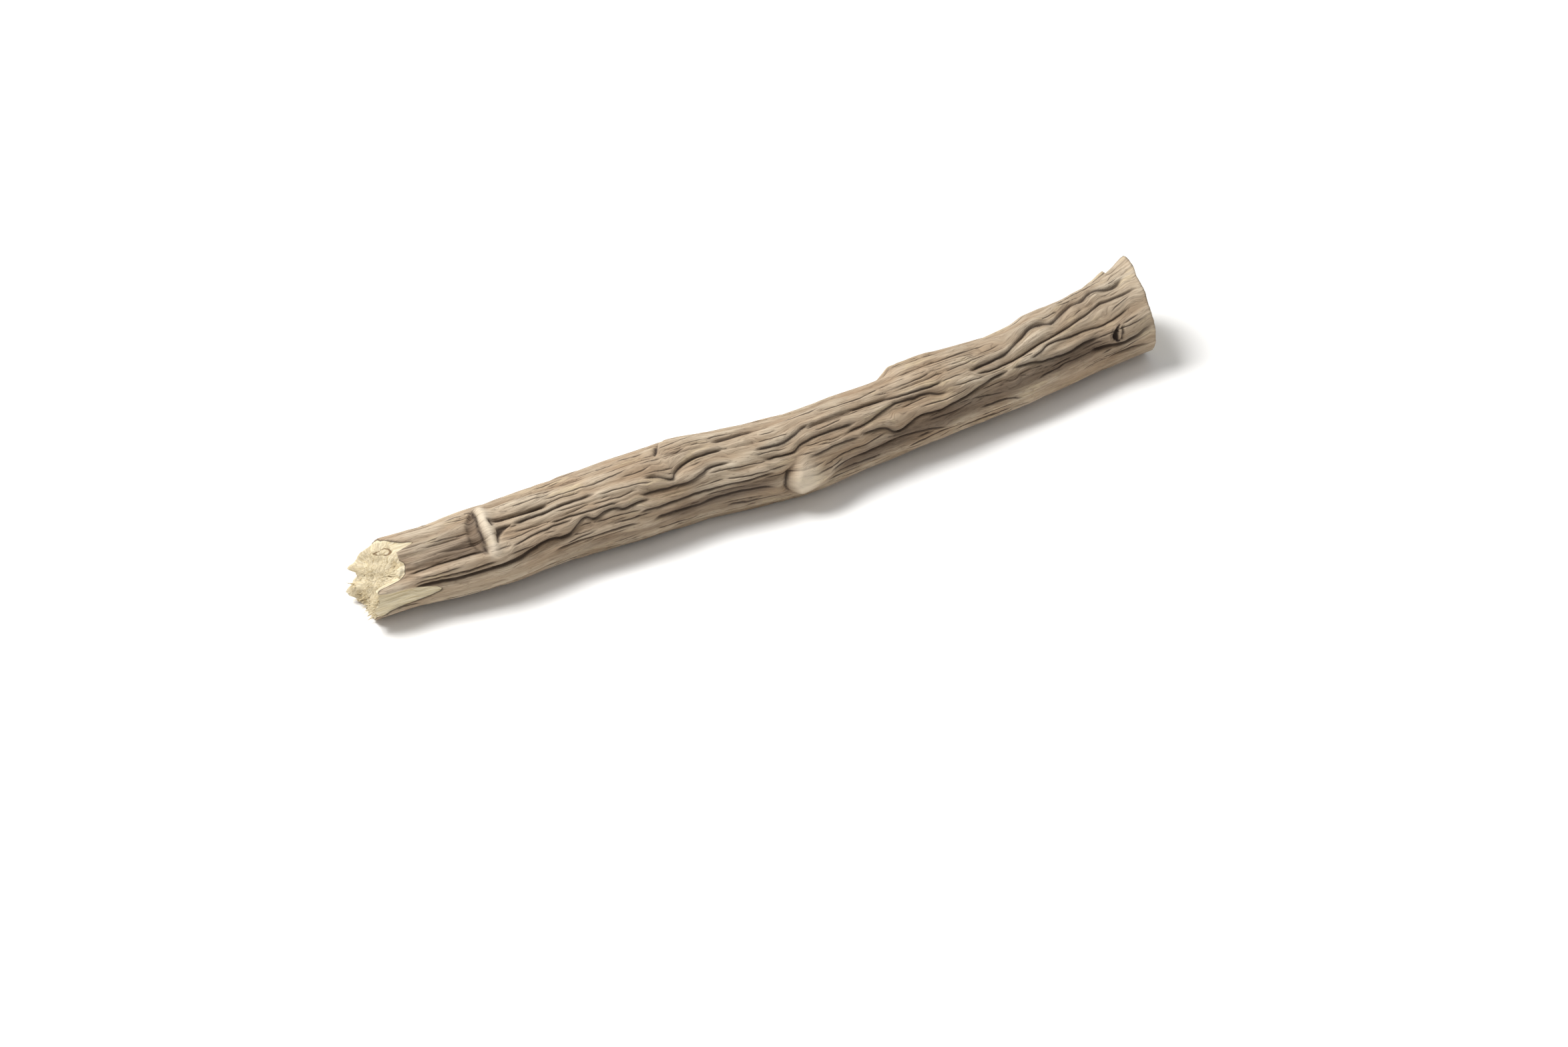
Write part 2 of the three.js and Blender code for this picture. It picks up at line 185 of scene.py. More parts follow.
def on_stick(along, around, height, inwards=1, girth_at=None):
    """Finished places in metres: height is mm above the smooth stick, inwards 0 at the heart and 1 outside.
    What would go below the surface that the stick lies on is worn flat."""
    girth = through(RADIUS, along if girth_at is None else girth_at)
    radius = inwards * (girth + height)
    angle = np.radians(around)
    across = through(BOW, along) - radius * np.sin(angle)
    up = through(RADIUS, along) - SETTLE + through(LIFT, along) + radius * np.cos(angle)
    return (np.stack([along, across, np.maximum(up, 0)], -1) - MIDDLE) * MM


# The bark.
# A thin skin of grey-brown cork that dried in long wavy plates. A bold crack is the edge of a plate that
# stands a little over the next one below it, and a fine one only parts the cork. The other marks are a scar
# ring, a sunken patch, a snapped rootlet's knob, a lifted flake, two shoulders and a rootlet's pit.

# Each bold crack has its course, as places along and around, its depth and its width.
CRACKS = [
    ([(-79, 79), (-73, 78), (-67, 80), (-62, 80), (-57, 78), (-54, 73), (-50, 70), (-46, 72), (-44, 63),
      (-42, 56), (-40.5, 62), (-38, 57), (-36, 56), (-34.5, 60), (-31, 58), (-28, 60)], 0.9, 0.7),
    ([(-79, 72), (-72, 72), (-67, 72), (-61, 70)], 0.5, 0.5),
    ([(-79, 57), (-75, 55), (-71, 52), (-67, 52), (-62, 54)], 0.8, 0.5),
    ([(-61, 9), (-57, 13), (-51, 16), (-47, 15)], 1, 0.8),
    ([(-60, 66), (-54, 68), (-50, 66), (-46, 68)], 0.5, 0.5),
    ([(-59, 59), (-53, 54), (-49, 53), (-44, 54)], 0.5, 0.5),
    ([(-57, 28), (-50, 29), (-44, 27), (-38, 28)], 0.7, 0.7),
    ([(-50, 47), (-42, 49), (-34, 50)], 0.5, 0.6),
    ([(-50, 90), (-42, 88), (-35, 86), (-31, 88)], 0.5, 0.6),
    ([(-29, 29), (-26, 32), (-23, 42), (-22, 35), (-20, 28), (-17, 23), (-14, 22), (-10, 22)], 0.9, 0.6),
    ([(-31, 48), (-25, 52), (-20, 53), (-17, 48), (-15, 43), (-10, 42)], 0.8, 0.7),
    ([(-32, 73), (-21, 73), (-14, 72), (-8, 72), (-2, 68)], 0.6, 0.6),
    ([(-29, 91), (-20, 95), (-14, 91), (-9, 88), (-2, 94)], 0.6, 0.6),
    ([(-13, 4), (-8, 0), (-2, -3)], 0.6, 0.6),
    ([(-6, 34), (0, 32), (3, 26), (6, 18), (11, 20), (18, 20)], 0.7, 0.7),
    ([(-5, 48), (2, 48), (4, 40), (7, 36), (11, 36), (17, 40)], 0.7, 0.7),
    ([(5, 21), (12, 18), (23, 20), (30, 28), (38, 30)], 0.7, 0.6),
    ([(4, 62), (10, 58), (17, 60)], 0.5, 0.6),
    ([(8, 86), (17, 91), (26, 88), (37, 101)], 0.6, 0.6),
    ([(13, 49), (18, 45), (23, 37), (26, 32), (30, 35), (33, 36), (35.5, 45), (38, 48)], 0.7, 0.6),
    ([(16, 56), (22, 61), (25, 74), (28, 70), (30, 66), (36, 68), (42, 62), (47, 52), (52, 48)], 0.9, 0.7),
    ([(43, 28), (49, 24), (53, 21), (56, 10), (60, -3), (63, -2), (65, 6), (68, -3), (71, -10),
      (73.5, -5), (76.3, -12), (78.5, -1), (80.5, 3), (84, -3)], 0.9, 0.7),
    ([(44, 37), (48, 38), (54, 36), (59, 30), (67, 25), (73, 21), (76, 15), (79, 18), (85, 24)], 0.7, 0.6),
    ([(56, 46), (59, 43), (62, 37), (66, 40), (70, 42), (76, 48), (82, 40)], 0.5, 0.6),
    ([(52, 48), (56, 50), (60, 57), (66, 62), (70, 59), (74, 62)], 0.9, 0.7),
    ([(70, 76), (75, 80), (78, 83), (81, 83), (83, 78), (86, 72)], 1, 0.7),
    ([(74, 101), (79, 100), (85, 102)], 0.5, 0.6),
]
BACK_SEED = 4157
BACK_CRACKS = 38
BACK_FROM = 126
BACK_TO = 314


def drawn_numbers(seed, count, *ranges):
    """A fixed table that looks random: count rows with a number from each range."""
    rows = []
    for _ in range(count):
        row = []
        for low, high in ranges:
            seed = (seed * 16807) % 2147483647
            row.append(lerp(low, high, seed / 2147483647))
        rows.append(row)
    return rows


for start, reach, place, drift, wave, depth, width in drawn_numbers(
        BACK_SEED, BACK_CRACKS, (-82, 62), (14, 38), (BACK_FROM, BACK_TO), (-9, 9), (-8, 8),
        (0.35, 0.65), (0.6, 0.9)):
    route = [(start, place), (start + 0.4 * reach, place + wave), (start + reach, place + drift)]
    CRACKS.append((route, depth, width))

FINE_DEPTH = 0.26
FINE_WIDTH = 0.3
FINE_CRACKS = [
    [(-78, 67), (-73, 66), (-68, 63)], [(-60, 48), (-52, 47), (-48, 48)], [(-58, 61), (-53, 56), (-48, 61)],
    [(-61, -12), (-53, 6)], [(-61, -2), (-54, 5)], [(-58, 32), (-54, 31), (-51, 34)],
    [(-50, 90), (-47, 84), (-43, 80), (-38, 77), (-28, 78)],
    [(-50, 93), (-45, 90), (-42, 93), (-37, 87), (-31, 88)], [(-29, 22), (-22, 28), (-19, 27)],
    [(-29, 92), (-21, 94), (-20, 90), (-15, 90), (-7, 88)], [(-14, 62), (-8, 65), (1, 62)],
    [(-13, 5), (-10, 4), (-6, 8), (-3, 13), (1, 12)],
    [(3, 44), (11, 48), (14, 49), (17, 48), (22, 42), (26, 32)],
    [(25, 38), (29, 36), (33, 36), (35, 40), (38, 49)], [(2, 56), (8, 57), (13, 60), (17, 60)],
    [(6, 79), (12, 74), (18, 74), (23, 68)], [(9, 87), (13, 89), (19, 89), (22, 86), (28, 88), (37, 101)],
    [(10, 2), (19, 6), (27, -2), (33, 4)], [(45, 7), (48, 6), (53, 1)], [(34, 33), (37, 30), (43, 28)],
    [(48, 65), (53, 62), (58, 59), (62, 60), (69, 62)], [(69, 15), (73, 10), (76, 11), (79, 16), (85, 24)],
    [(63, 29), (69, 24), (73, 22), (77, 15)], [(79, -5), (82, -14), (86, -11)],
    [(77, 37), (79, 32), (83, 27)], [(78, 58), (83, 56)], [(-39, 31), (-31, 34), (-26, 39)],
    [(-33, 17), (-28, 16), (-25, 15)], [(-48, 34), (-40, 37), (-35, 38)],
    [(-23, 40), (-20, 34), (-17, 28), (-12, 26)], [(3, 47), (7, 34), (17, 38)],
    [(-11, 4), (-6, 10), (-2, 13)], [(-50, 16), (-46, 15), (-40, 18)], [(-42, 41), (-36, 43), (-30, 41)],
    [(-45, 66), (-38, 67), (-30, 69)], [(-27, 62), (-20, 63), (-14, 60)], [(-18, 80), (-10, 80), (-4, 76)],
    [(30, 52), (38, 56), (43, 50)], [(38, 42), (46, 44), (54, 41)], [(22, 10), (30, 16), (40, 16)],
    [(60, 72), (66, 72), (72, 70)], [(-33, -12), (-28, -10), (-24, -7), (-22, -6)],
    [(-25, 8), (-22, 11), (-19, 10), (-16, 9)],
]
# More of them in made-up places: a seed, how many, and from where to where round the stick.
SCATTERED = [(91, 250, 110, 350), (613, 60, -10, 110)]
for seed, count, low_place, high_place in SCATTERED:
    for start, reach, place, drift, wave in drawn_numbers(
            seed, count, (-86, 80), (6, 22), (low_place, high_place), (-6, 6), (-5, 5)):
        bend = (start + 0.5 * reach, place + wave)
        FINE_CRACKS.append([(start, place), bend, (start + reach, place + drift)])

# Long hollows: each one's course, half its width in degrees, its depth and how dark its painted shade is.
HOLLOWS = [
    ([(-27, 98), (-16, 94), (-8, 90), (-1, 86)], 13, 0.3, 1),
    ([(8, 100), (20, 93), (30, 86), (45, 78), (56, 72), (66, 72), (76, 71)], 15, 0.4, 1),
    ([(-50, 108), (-30, 106), (-10, 110), (-2, 116)], 9, 0.1, 0.5),
]
BARK_THICKNESS = 0.55
BARK_EDGE = [
    (-180, -85.4), (-135, -84.9), (-105, -84), (-75, -81.7), (-50, -80.2), (-30, -79.6), (-12, -79),
    (-3, -77.4), (3, -75.2), (11, -77.4), (20, -80.2), (27, -79.9), (34, -78.8), (45, -78.9), (53, -79.4),
    (61, -80.8), (66, -85.2), (73, -84.8), (78, -79.6), (83, -75.6), (87, -73.5), (93, -73), (99, -74),
    (106, -76.4), (110, -80), (115, -83), (125, -84.4), (150, -85.2), (180, -85.4),
]

FLUTE_HEIGHT = 0.2
LOW_FLUTE_HEIGHT = 0.12
RIDGE_HEIGHT = 0.2
RIDGES_ROUND = 13


def flutes(along, around):
    """The stick isn't quite round: broad flutes wind along it, and low ridges of bark run with them."""
    angle = np.radians(around)
    broad = FLUTE_HEIGHT * np.sin(3 * angle + along / 24)
    broad += LOW_FLUTE_HEIGHT * np.sin(2 * angle - along / 17 + 1)
    winding = 2 * np.sin(along / 11) + 1.2 * np.sin(along / 5.3 + 2 * angle)
    return broad, RIDGE_HEIGHT * np.sin(RIDGES_ROUND * angle + winding)


RING_HEIGHT = 0.95
RING_WIDTH = 1.25
RING_OUT = 1.35
RING_FOOT = [(-25, -61.7), (0, -63.3), (30, -64.1), (60, -63.6)]
RING_SPAN = (-22, 62, 10)
RING_HOLLOW = 0.8
RING_HOLLOW_SPAN = (-20, 58, 5)
RING_HOLLOW_WIDE = (-12, 48, 14)
NOTCH_START = -59.8
NOTCH_END = [(25, -59.8), (28, -57), (33, -58.4), (40, -59.8), (49, -60.6)]
NOTCH_SPAN = (26, 48, 2.5)
NOTCH_DEPTH = 0.6
NICK_PLACE = -60.2
NICK_SPAN = (8, 21, 2)
NICK_DEPTH = 0.5


def scar_ring(along, around):
    """A raised smooth scar ring crosses the top near the torn end. A lens-shaped hollow lies at its foot,
    and a notch and a nick past it. Gives its height, how smooth it is, the painted shade in its hollow, and
    how dark the painted shade is in the creases at the hollow's rims, in the notch and in the nick."""
    foot = through(RING_FOOT, around)
    half = 0.15 + 0.9 * between(around, *RING_HOLLOW_WIDE)
    lens = np.exp(-(((along - foot) / half) ** 4)) * between(around, *RING_HOLLOW_SPAN)
    rims = hump((along - foot - half) / 0.26) + 0.5 * hump((along - foot + half) / 0.22)
    crest = along - foot - half - RING_OUT
    ring = hump(crest / RING_WIDTH) * between(around, *RING_SPAN)
    notch_end = through(NOTCH_END, around)
    notch_start = NOTCH_START - 0.05 * (around - NOTCH_SPAN[0])
    notch = ease(along, notch_start - 0.3, notch_start + 0.2) * between(around, *NOTCH_SPAN)
    notch *= 1 - ease(along, notch_end - 0.4, notch_end + 0.3)
    nick = hump((along - NICK_PLACE) / 0.4) * between(around, *NICK_SPAN)
    dark = np.maximum(rims * between(around, -20, 57, 5), np.maximum(0.9 * notch, nick))
    smooth = ring * ease(crest, -1.6, -0.9)
    height = RING_HEIGHT * ring - RING_HOLLOW * lens - NOTCH_DEPTH * notch - NICK_DEPTH * nick
    return height, smooth, lens, dark


SUNK_FROM = -79.5
SUNK_TO = -63
SUNK_DEPTHS = (0.45, 0.8)
SUNK_SHADE = (0.5, 1)
SUNK_LIP = 0.3
SUNK_LIP_ROUND = 63


def sunken_bark(along, around):
    """Between the torn edge and the ring the bark has sunk, up to a sharp lower lip. Gives its height and
    how much painted shade darkens it."""
    across = ease(around, -20, 40) * (1 - ease(around, 51, 56))
    sunk = between(along, SUNK_FROM, SUNK_TO, 1.5)
    lip = SUNK_LIP * between(along, -78, -52, 3) * hump(turn(around, SUNK_LIP_ROUND) / 6)
    slant = ease(along, -79, -64)
    return lip - across * sunk * lerp(*SUNK_DEPTHS, slant), across * sunk * lerp(*SUNK_SHADE, slant)


KNOB_HEIGHT = 2.1
KNOB_ROUND = 92
KNOB_TIP = -0.3
KNOB_TIP_BEND = 1.8
KNOB_DRIFT = -0.4
KNOB_HALF_WIDTHS = (27, 14)
KNOB_FADE = (3.5, 15)
KNOB_CREASE = 0.5


def knob(along, around):
    """A snapped rootlet: a smooth rounded knob low on the front that points back to the torn end. Gives its
    height, how smooth it is, and how dark the painted shade in the crease round its tip is."""
    half = lerp(*KNOB_HALF_WIDTHS, ease(along, 2, 14))
    across = turn(around, KNOB_ROUND + KNOB_DRIFT * np.maximum(along, 0)) / half
    tip = KNOB_TIP + KNOB_TIP_BEND * across * across
    body = ease(along, tip - 0.4, tip + 1.9) * (1 - ease(along, *KNOB_FADE))
    sides = hump(across * np.abs(across) ** 0.4)
    round_tip = np.exp(-((across / 0.9) ** 6))
    crease = hump((along - tip + 0.5) / 0.5) * round_tip
    line = hump((along - tip + 0.3) / 0.32) * round_tip
    height = KNOB_HEIGHT * body * sides - KNOB_CREASE * crease
    return height, body * sides * (1 - ease(along, 3, 8)), line


FLAKE_END = [(-45, -18.5), (-30, -20.8), (-16, -22), (-3, -23.2)]
FLAKE_EDGE = [(-23, -4), (-21, 1), (-17, 6), (-10, 8)]
FLAKE_ROUND = -17
FLAKE_SPREAD = 24
FLAKE_HEIGHT = 0.5
FLAKE_NOTCH = 0.6
FLAKE_GAP = 0.15


def flake(along, around):
    """A flake of bark stands up at the top: its free end slants across the stick over a notch, and its
    lower edge runs towards the crown. Gives its height and the painted shade in the notch and under its
    edge."""
    past = along - through(FLAKE_END, around)
    below = turn(around, through(FLAKE_EDGE, along))
    raised = FLAKE_HEIGHT * (1 - ease(along, -19, -9)) * hump(turn(around, FLAKE_ROUND) / FLAKE_SPREAD)
    over = ease(past, -0.15, 0.45) * (1 - ease(below, -1, 3))
    notch = hump((past + 0.35) / 0.5) * between(around, -38, -5, 5)
    gap = hump((below - 2.5) / 2.5) * between(along, -22.5, -14, 1.5)
    dark = np.maximum(ease(notch, 0.1, 0.9), 0.6 * gap)
    return raised * over - FLAKE_NOTCH * notch - FLAKE_GAP * gap, dark


LEDGE_HEIGHT = 1.45
LEDGE_ROUND = -47
LEDGE_SPREAD = 27
SHOULDER_HEIGHT = 0.45
SHOULDER_ROUND = -43
SHOULDER_SPREAD = 24
RIM_ROUND = -44
RIM_SPREAD = 17
RIM_DIP = 0.48
RIM_EDGE = 0.35
RIM_NICK = 0.75
RIM_BREAK = (81.8, 82.25)


def shoulders(along, around):
    """The bark steps up on the top at mid length, and again as a shoulder before the crown. Then it dips and
    ends in an edge, past which a nick is broken out of the rim."""
    ledge = LEDGE_HEIGHT * ease(along, 27, 31) * (1 - ease(along, 31, 58))
    ledge *= hump(turn(around, LEDGE_ROUND) / LEDGE_SPREAD)
    shoulder = SHOULDER_HEIGHT * ease(along, 58.5, 62) * (1 - ease(along, 63, 71))
    shoulder *= hump(turn(around, SHOULDER_ROUND) / SHOULDER_SPREAD)
    dip = RIM_DIP * ease(along, 73, 75.5) * (1 - ease(along, 77, 79.5))
    broken = ease(along, *RIM_BREAK)
    edge = RIM_EDGE * ease(along, 79, 81) * (1 - broken)
    nick = RIM_NICK * broken * (1 - ease(along, RIM_BREAK[1], 88.5))
    return ledge + shoulder + (edge - dip - nick) * hump(turn(around, RIM_ROUND) / RIM_SPREAD)


PIT_LINE = [(56, 77.9), (60, 77.2), (66, 76.6), (72, 76.6), (79, 77.1)]
PIT_ROUND = 68
PIT_SPREAD = 8
PIT_DEPTH = 1.3
PIT_SPLIT = 0.4
PIT_FOLD = 0.2
PIT_LIP = 0.4


def pit(along, around):
    """The scar of a rootlet that came away: a crescent pit near the crown, with a lip, a fold before it,
    and a pale sliver between it and a thin split. Gives its height and the painted shade in pit, split and
    fold."""
    middle = through(PIT_LINE, around)
    deep = hump((around - PIT_ROUND) / PIT_SPREAD)
    half = 0.25 + 0.37 * deep
    hole = np.exp(-(((along - middle) / half) ** 4)) * between(around, 57, 79, 2)
    split = hump((along - 78.2 + 0.03 * (around - 66)) / 0.28) * between(around, 60, 78, 2)
    fold = hump((along - middle + 1.05) / 0.22) * between(around, 58, 77, 3)
    lip = PIT_LIP * hump((along - 77.2) / 2.4) * hump((around - 67) / 20)
    dark = np.maximum.reduce([ease(hole, 0.03, 0.35), 0.9 * ease(split, 0.1, 0.7), 0.5 * fold])
    return lip - PIT_DEPTH * hole * deep - PIT_SPLIT * split - PIT_FOLD * fold, dark


FLARE = 0.5
FLARE_ROUND = -38
FLARE_SPREAD = 34


def crown_lip(along, around):
    """The bark flares out a little more at the top of the crown end."""
    return FLARE * ease(along, 80, 88) * hump(turn(around, FLARE_ROUND) / FLARE_SPREAD)


NO_LINE = 9.0
CRACK_FADE = 2.5
CRACK_REACH = 6
CRACK_HEART = 0.3
CRACK_SHOULDER = 0.4
STEP_UP = 0.3
STEP_UP_REACH = 1.4
STEP_DOWN = -0.25
STEP_DOWN_REACH = 1.8
GRAIN_REACH = 2.2


def beside(route, along, around, stray):
    """The places near one crack: which they are, how far below it they lie in mm, how open it is there, how
    far round it has turned from its middle course, and how much it leans across the stick, 0 to 1."""
    start, end = route[0][0], route[-1][0]
    near = np.flatnonzero((along > start) & (along < end))
    course = through(route, along[near])
    lean = (through(route, along[near] + 0.1) - course) / 0.1 * MM_PER_DEGREE
    below = (turn(around[near], course) * MM_PER_DEGREE + stray[near]) / np.sqrt(1 + lean * lean)
    fade = min(CRACK_FADE, 0.3 * (end - start))
    opened = ease(along[near], start, start + fade) * (1 - ease(along[near], end - fade, end))
    close = np.abs(below) < CRACK_REACH
    bend = course - np.mean([place for _, place in route])
    leaning = np.abs(lean) / np.sqrt(1 + lean * lean)
    return near[close], below[close], opened[close], bend[close], leaning[close]


def cracked(cracks, along, around, stray):
    """What a set of cracks does to the bark: how deep it is cut, how its plates step up and down, how far
    across the heart of the nearest crack a place is, how plain that heart is, and how the grain turns. Low
    on the front the heart's dark line is moved down and widened, as a painted shadow under the plate's edge."""
    cuts, steps, turned = np.zeros((3, len(along)))
    weight = np.full(len(along), 0.2)
    rank, next_rank, across = np.full((3, len(along)), NO_LINE)
    plain = np.zeros(len(along))
    # Painted shadow: low on the front, a crack's dark line is moved down and widened under the plate's edge.
    low_front_shadow = ease(around, 55, 80) * (1 - ease(around, 110, 130))
    for route, depth, width in cracks:
        near, below, opened, bend, leaning = beside(route, along, around, stray)
        heart = CRACK_HEART * width
        soft = 0.5 * heart + 0.4 * leaning
        off = np.hypot(below, soft) - soft
        wall = np.hypot(heart, 0.45 * leaning)
        cut = CRACK_SHOULDER * np.exp(-np.hypot(off, 0.3 * leaning) / width)
        cut += (1 - CRACK_SHOULDER) * heart / wall * np.exp(-off / wall)
        cuts[near] = np.maximum(cuts[near], depth * opened * cut)
        plate_above = STEP_UP * np.exp(-off / STEP_UP_REACH)
        plate_below = STEP_DOWN * np.exp(-off / STEP_DOWN_REACH)
        under = ease(below, -0.12 - 0.5 * leaning, 0.12 + 0.5 * leaning)
        steps[near] += depth * opened * lerp(plate_above, plate_below, under)
        pull = opened * opened * hump(off / GRAIN_REACH)
        turned[near] += pull * bend
        weight[near] += pull
        here = off + 0.5 * (1 - opened)
        wins = here < rank[near]
        next_rank[near] = np.where(wins, rank[near], np.minimum(next_rank[near], here))
        won = near[wins]
        rank[won] = here[wins]
        # How far the painted shadow under the plate's edge moves and widens the line.
        edge_shadow = depth * low_front_shadow[won]
        across[won] = (below[wins] - 0.3 * edge_shadow) / (heart * (1 + 0.5 * edge_shadow))
        plain[won] = (opened * (1 - ease(off, 0.35, 0.7)))[wins]
    return cuts, steps, across, plain * ease(next_rank - rank, 0.25, 0.5), turned / weight


# Smooth noise: how far each stray reaches, then the length, the width and the shift of its patches, as in
# the rows below.
STRAYS = [(0.2, 3.5, 2, 7), (0.1, 1.2, 1, 3)]
LUMPS = (9, 4, 60)
PLATES = (24, 2, 20)
FIBRES = (12, 0.8, 40)
THREADS = (7, 0.42, 70)
LUMP_HEIGHT = 0.16
PLATE_HEIGHT = 0.14
FIBRE_HEIGHT = 0.1
THREAD_HEIGHT = 0.06
PLATE_FISSURE = 0.13
FIBRE_FISSURE = 0.08


def bark_skin(along, around):
    """The bark at each place: its height over the smooth stick in mm, how far its grain has turned round the
    stick, and the numbers that its colour needs."""
    places = straightened(along, around, 1)
    ring_height, ring_smooth, lens_shade, ring_dark = scar_ring(along, around)
    patch_height, patch_shade = sunken_bark(along, around)
    knob_height, knob_smooth, knob_dark = knob(along, around)
    flake_height, flake_dark = flake(along, around)
    pit_height, pit_dark = pit(along, around)
    broad, ridges = flutes(along, around)
    form = broad + ring_height + patch_height + knob_height + flake_height + pit_height
    form += shoulders(along, around) + crown_lip(along, around)
    smooth = np.clip(ring_smooth + knob_smooth, 0, 1)
    rough = (1 - 0.85 * smooth) * (1 - 0.7 * ease(along, 80, 86.5))

    # Painted shade: the sunken patch, the lens at the ring's foot and the long hollows are darkened as if in
    # shade.
    hollow_shade = np.maximum(patch_shade, lens_shade)
    for route, half_width, depth, darkness in HOLLOWS:
        start, end = route[0][0], route[-1][0]
        off = turn(around, through(route, along)) / half_width
        here = between(along, start + 2, end - 2, 4) * np.exp(-off**4)
        form -= depth * here
        hollow_shade = np.maximum(hollow_shade, darkness * here)

    stray = sum(reach * clouds(places, *patch) for reach, *patch in STRAYS)
    cuts, steps, bold_across, bold_line, turned = cracked(CRACKS, along, around, stray)
    fine_cracks = [(route, FINE_DEPTH, FINE_WIDTH) for route in FINE_CRACKS]
    fine_cuts, _, fine_across, fine_line, _ = cracked(fine_cracks, along, around, stray)
    fine_line *= 1 - ease(bold_line, 0.1, 0.5)
    off_knob = turn(around, KNOB_ROUND)
    turned += 0.35 * off_knob * hump(off_knob / 32) * hump((along - 3) / 8)

    grown = straightened(along, around - turned, 1)
    plates = clouds(grown, *PLATES)
    fibres = clouds(grown, *FIBRES)
    fissures = PLATE_FISSURE * np.exp(-np.abs(plates) / 0.05)
    fissures += FIBRE_FISSURE * np.exp(-np.abs(fibres) / 0.07) * (1 + 1.5 * hollow_shade)
    fine = ridges + LUMP_HEIGHT * clouds(grown, *LUMPS) + PLATE_HEIGHT * np.abs(plates)
    fine += FIBRE_HEIGHT * np.abs(fibres)
    fine += THREAD_HEIGHT * clouds(grown, *THREADS) - fissures
    height = form + rough * (fine + steps - np.maximum(cuts, fine_cuts))
    # Painted shade: the colour darkens in the cracks and fissures, and in the creases of the ring, knob,
    # flake and pit.
    dark = rough * (0.4 * np.clip(cuts / 0.6, 0, 1) + fissures)
    dark = np.maximum.reduce([dark, ring_dark, knob_dark, flake_dark, pit_dark])
    # A plate's upper side at a bold crack is paler as a painted highlight, the side below it darker as
    # painted shade.
    pale = 2 * ridges + 0.8 * np.abs(plates) + 1.3 * np.clip(steps, -0.2, 0.3) - 0.15 + 0.9 * smooth
    colouring = {
        "dark": np.clip(dark, 0, 1), "pale": np.clip(pale, -1, 1), "hollow_shade": hollow_shade, "calm": smooth,
        "bold_across": bold_across, "bold_line": bold_line * rough,
        "fine_across": fine_across, "fine_line": fine_line * rough,
    }
    return height, turned, colouring


# The torn end.
# The stick was snapped, not cut: the break slopes back to the top, its fibre bundles parted at different
# heights, and the bark tore back from the wood, most of all round a tongue of bare wood low at the front.
BREAK_SLOPE = 3.4
BREAK_TOP = 10
TONGUE_OUT = [
    (56, 0), (61, -0.4), (66, -4.6), (72, -4.2), (80, -4), (100, -3.5), (117, -2.3), (138, -0.4), (150, 0),
]
TONGUE_DEPTH = 0.45
CORNER_BACK = 2
CORNER_ROUND = 187
CORNER_SPREAD = 27
RAGGED_RIM = [
    (-152, 0), (-145, -0.4), (-137, -1.2), (-131, -1.1), (-123, 0.1), (-116, 0.5), (-107, 0.3), (-102, -0.3),
    (-97, -1.2), (-90, -1), (-75, -0.6), (-60, -0.3), (-40, 0),
]
TEETH = 9
TOOTH_LONG = 0.5
BUNDLE_WIDTH = 0.9
BUNDLE_STANDS = (0.13, 0.6)
PLATE_LONG = 1.7
GAP_DEPTH = 0.12
GAP_DARK = 0.35
STREAK_FRAY = 16
NEAR_TORN = -70
KNOT = (-0.2, 0.71)
KNOT_LONG = 0.33
KNOT_WIDE = 0.1
KNOT_LIE = (0.83, 0.56)
MARK_HEART = 0.013
MARK_DEPTH = 0.2
SPLITS = [
    ((-0.54, -0.19), (-0.49, -0.17)), ((0.38, 0.32), (0.5, 0.36)), ((-0.42, -0.87), (0, -0.51)),
    ((-0.03, -0.79), (0.11, -0.52)), ((0.16, -0.2), (0.3, -0.12)),
]


def stroke(front, up, start, end):
    """How far beside a straight split each place on a face is, in shares of the radius, and how open the
    split is there."""
    run = np.subtract(end, start)
    length = np.hypot(*run)
    share = ((front - start[0]) * run[0] + (up - start[1]) * run[1]) / length**2
    beside_it = ((front - start[0]) * run[1] - (up - start[1]) * run[0]) / length
    return beside_it, between(share, 0, 1, 0.08) * (np.abs(beside_it) < 0.08)


def fanned(inwards):
    """How widely the streaks of an end face are spread, in shares of the radius. They fan out from the heart
    as the wood's rays do, though not from its very middle."""
    return lerp(inwards, 1, ease(inwards, 0.1, 0.5))


def bundles(inwards, around):
    """Fibre bundles in the break, in thin plates that fan out from the heart: how far each one stands out,
    -1 to 1, and how close a place is to a gap."""
    out = MEAN_RADIUS * inwards * BUNDLE_WIDTH / PLATE_LONG
    spots = straightened(out, around, fanned(inwards)) / BUNDLE_WIDTH
    stands = np.empty(len(spots))
    gaps = np.empty(len(spots))
    for i, spot in enumerate(spots.tolist()):
        distances, centres = noise.voronoi(spot)
        stands[i] = noise.noise(centres[0] * 0.9 + Vector((5, 5, 5)))
        gaps[i] = distances[1] - distances[0]
    return stands, 1 - ease(gaps, 0, 0.3)


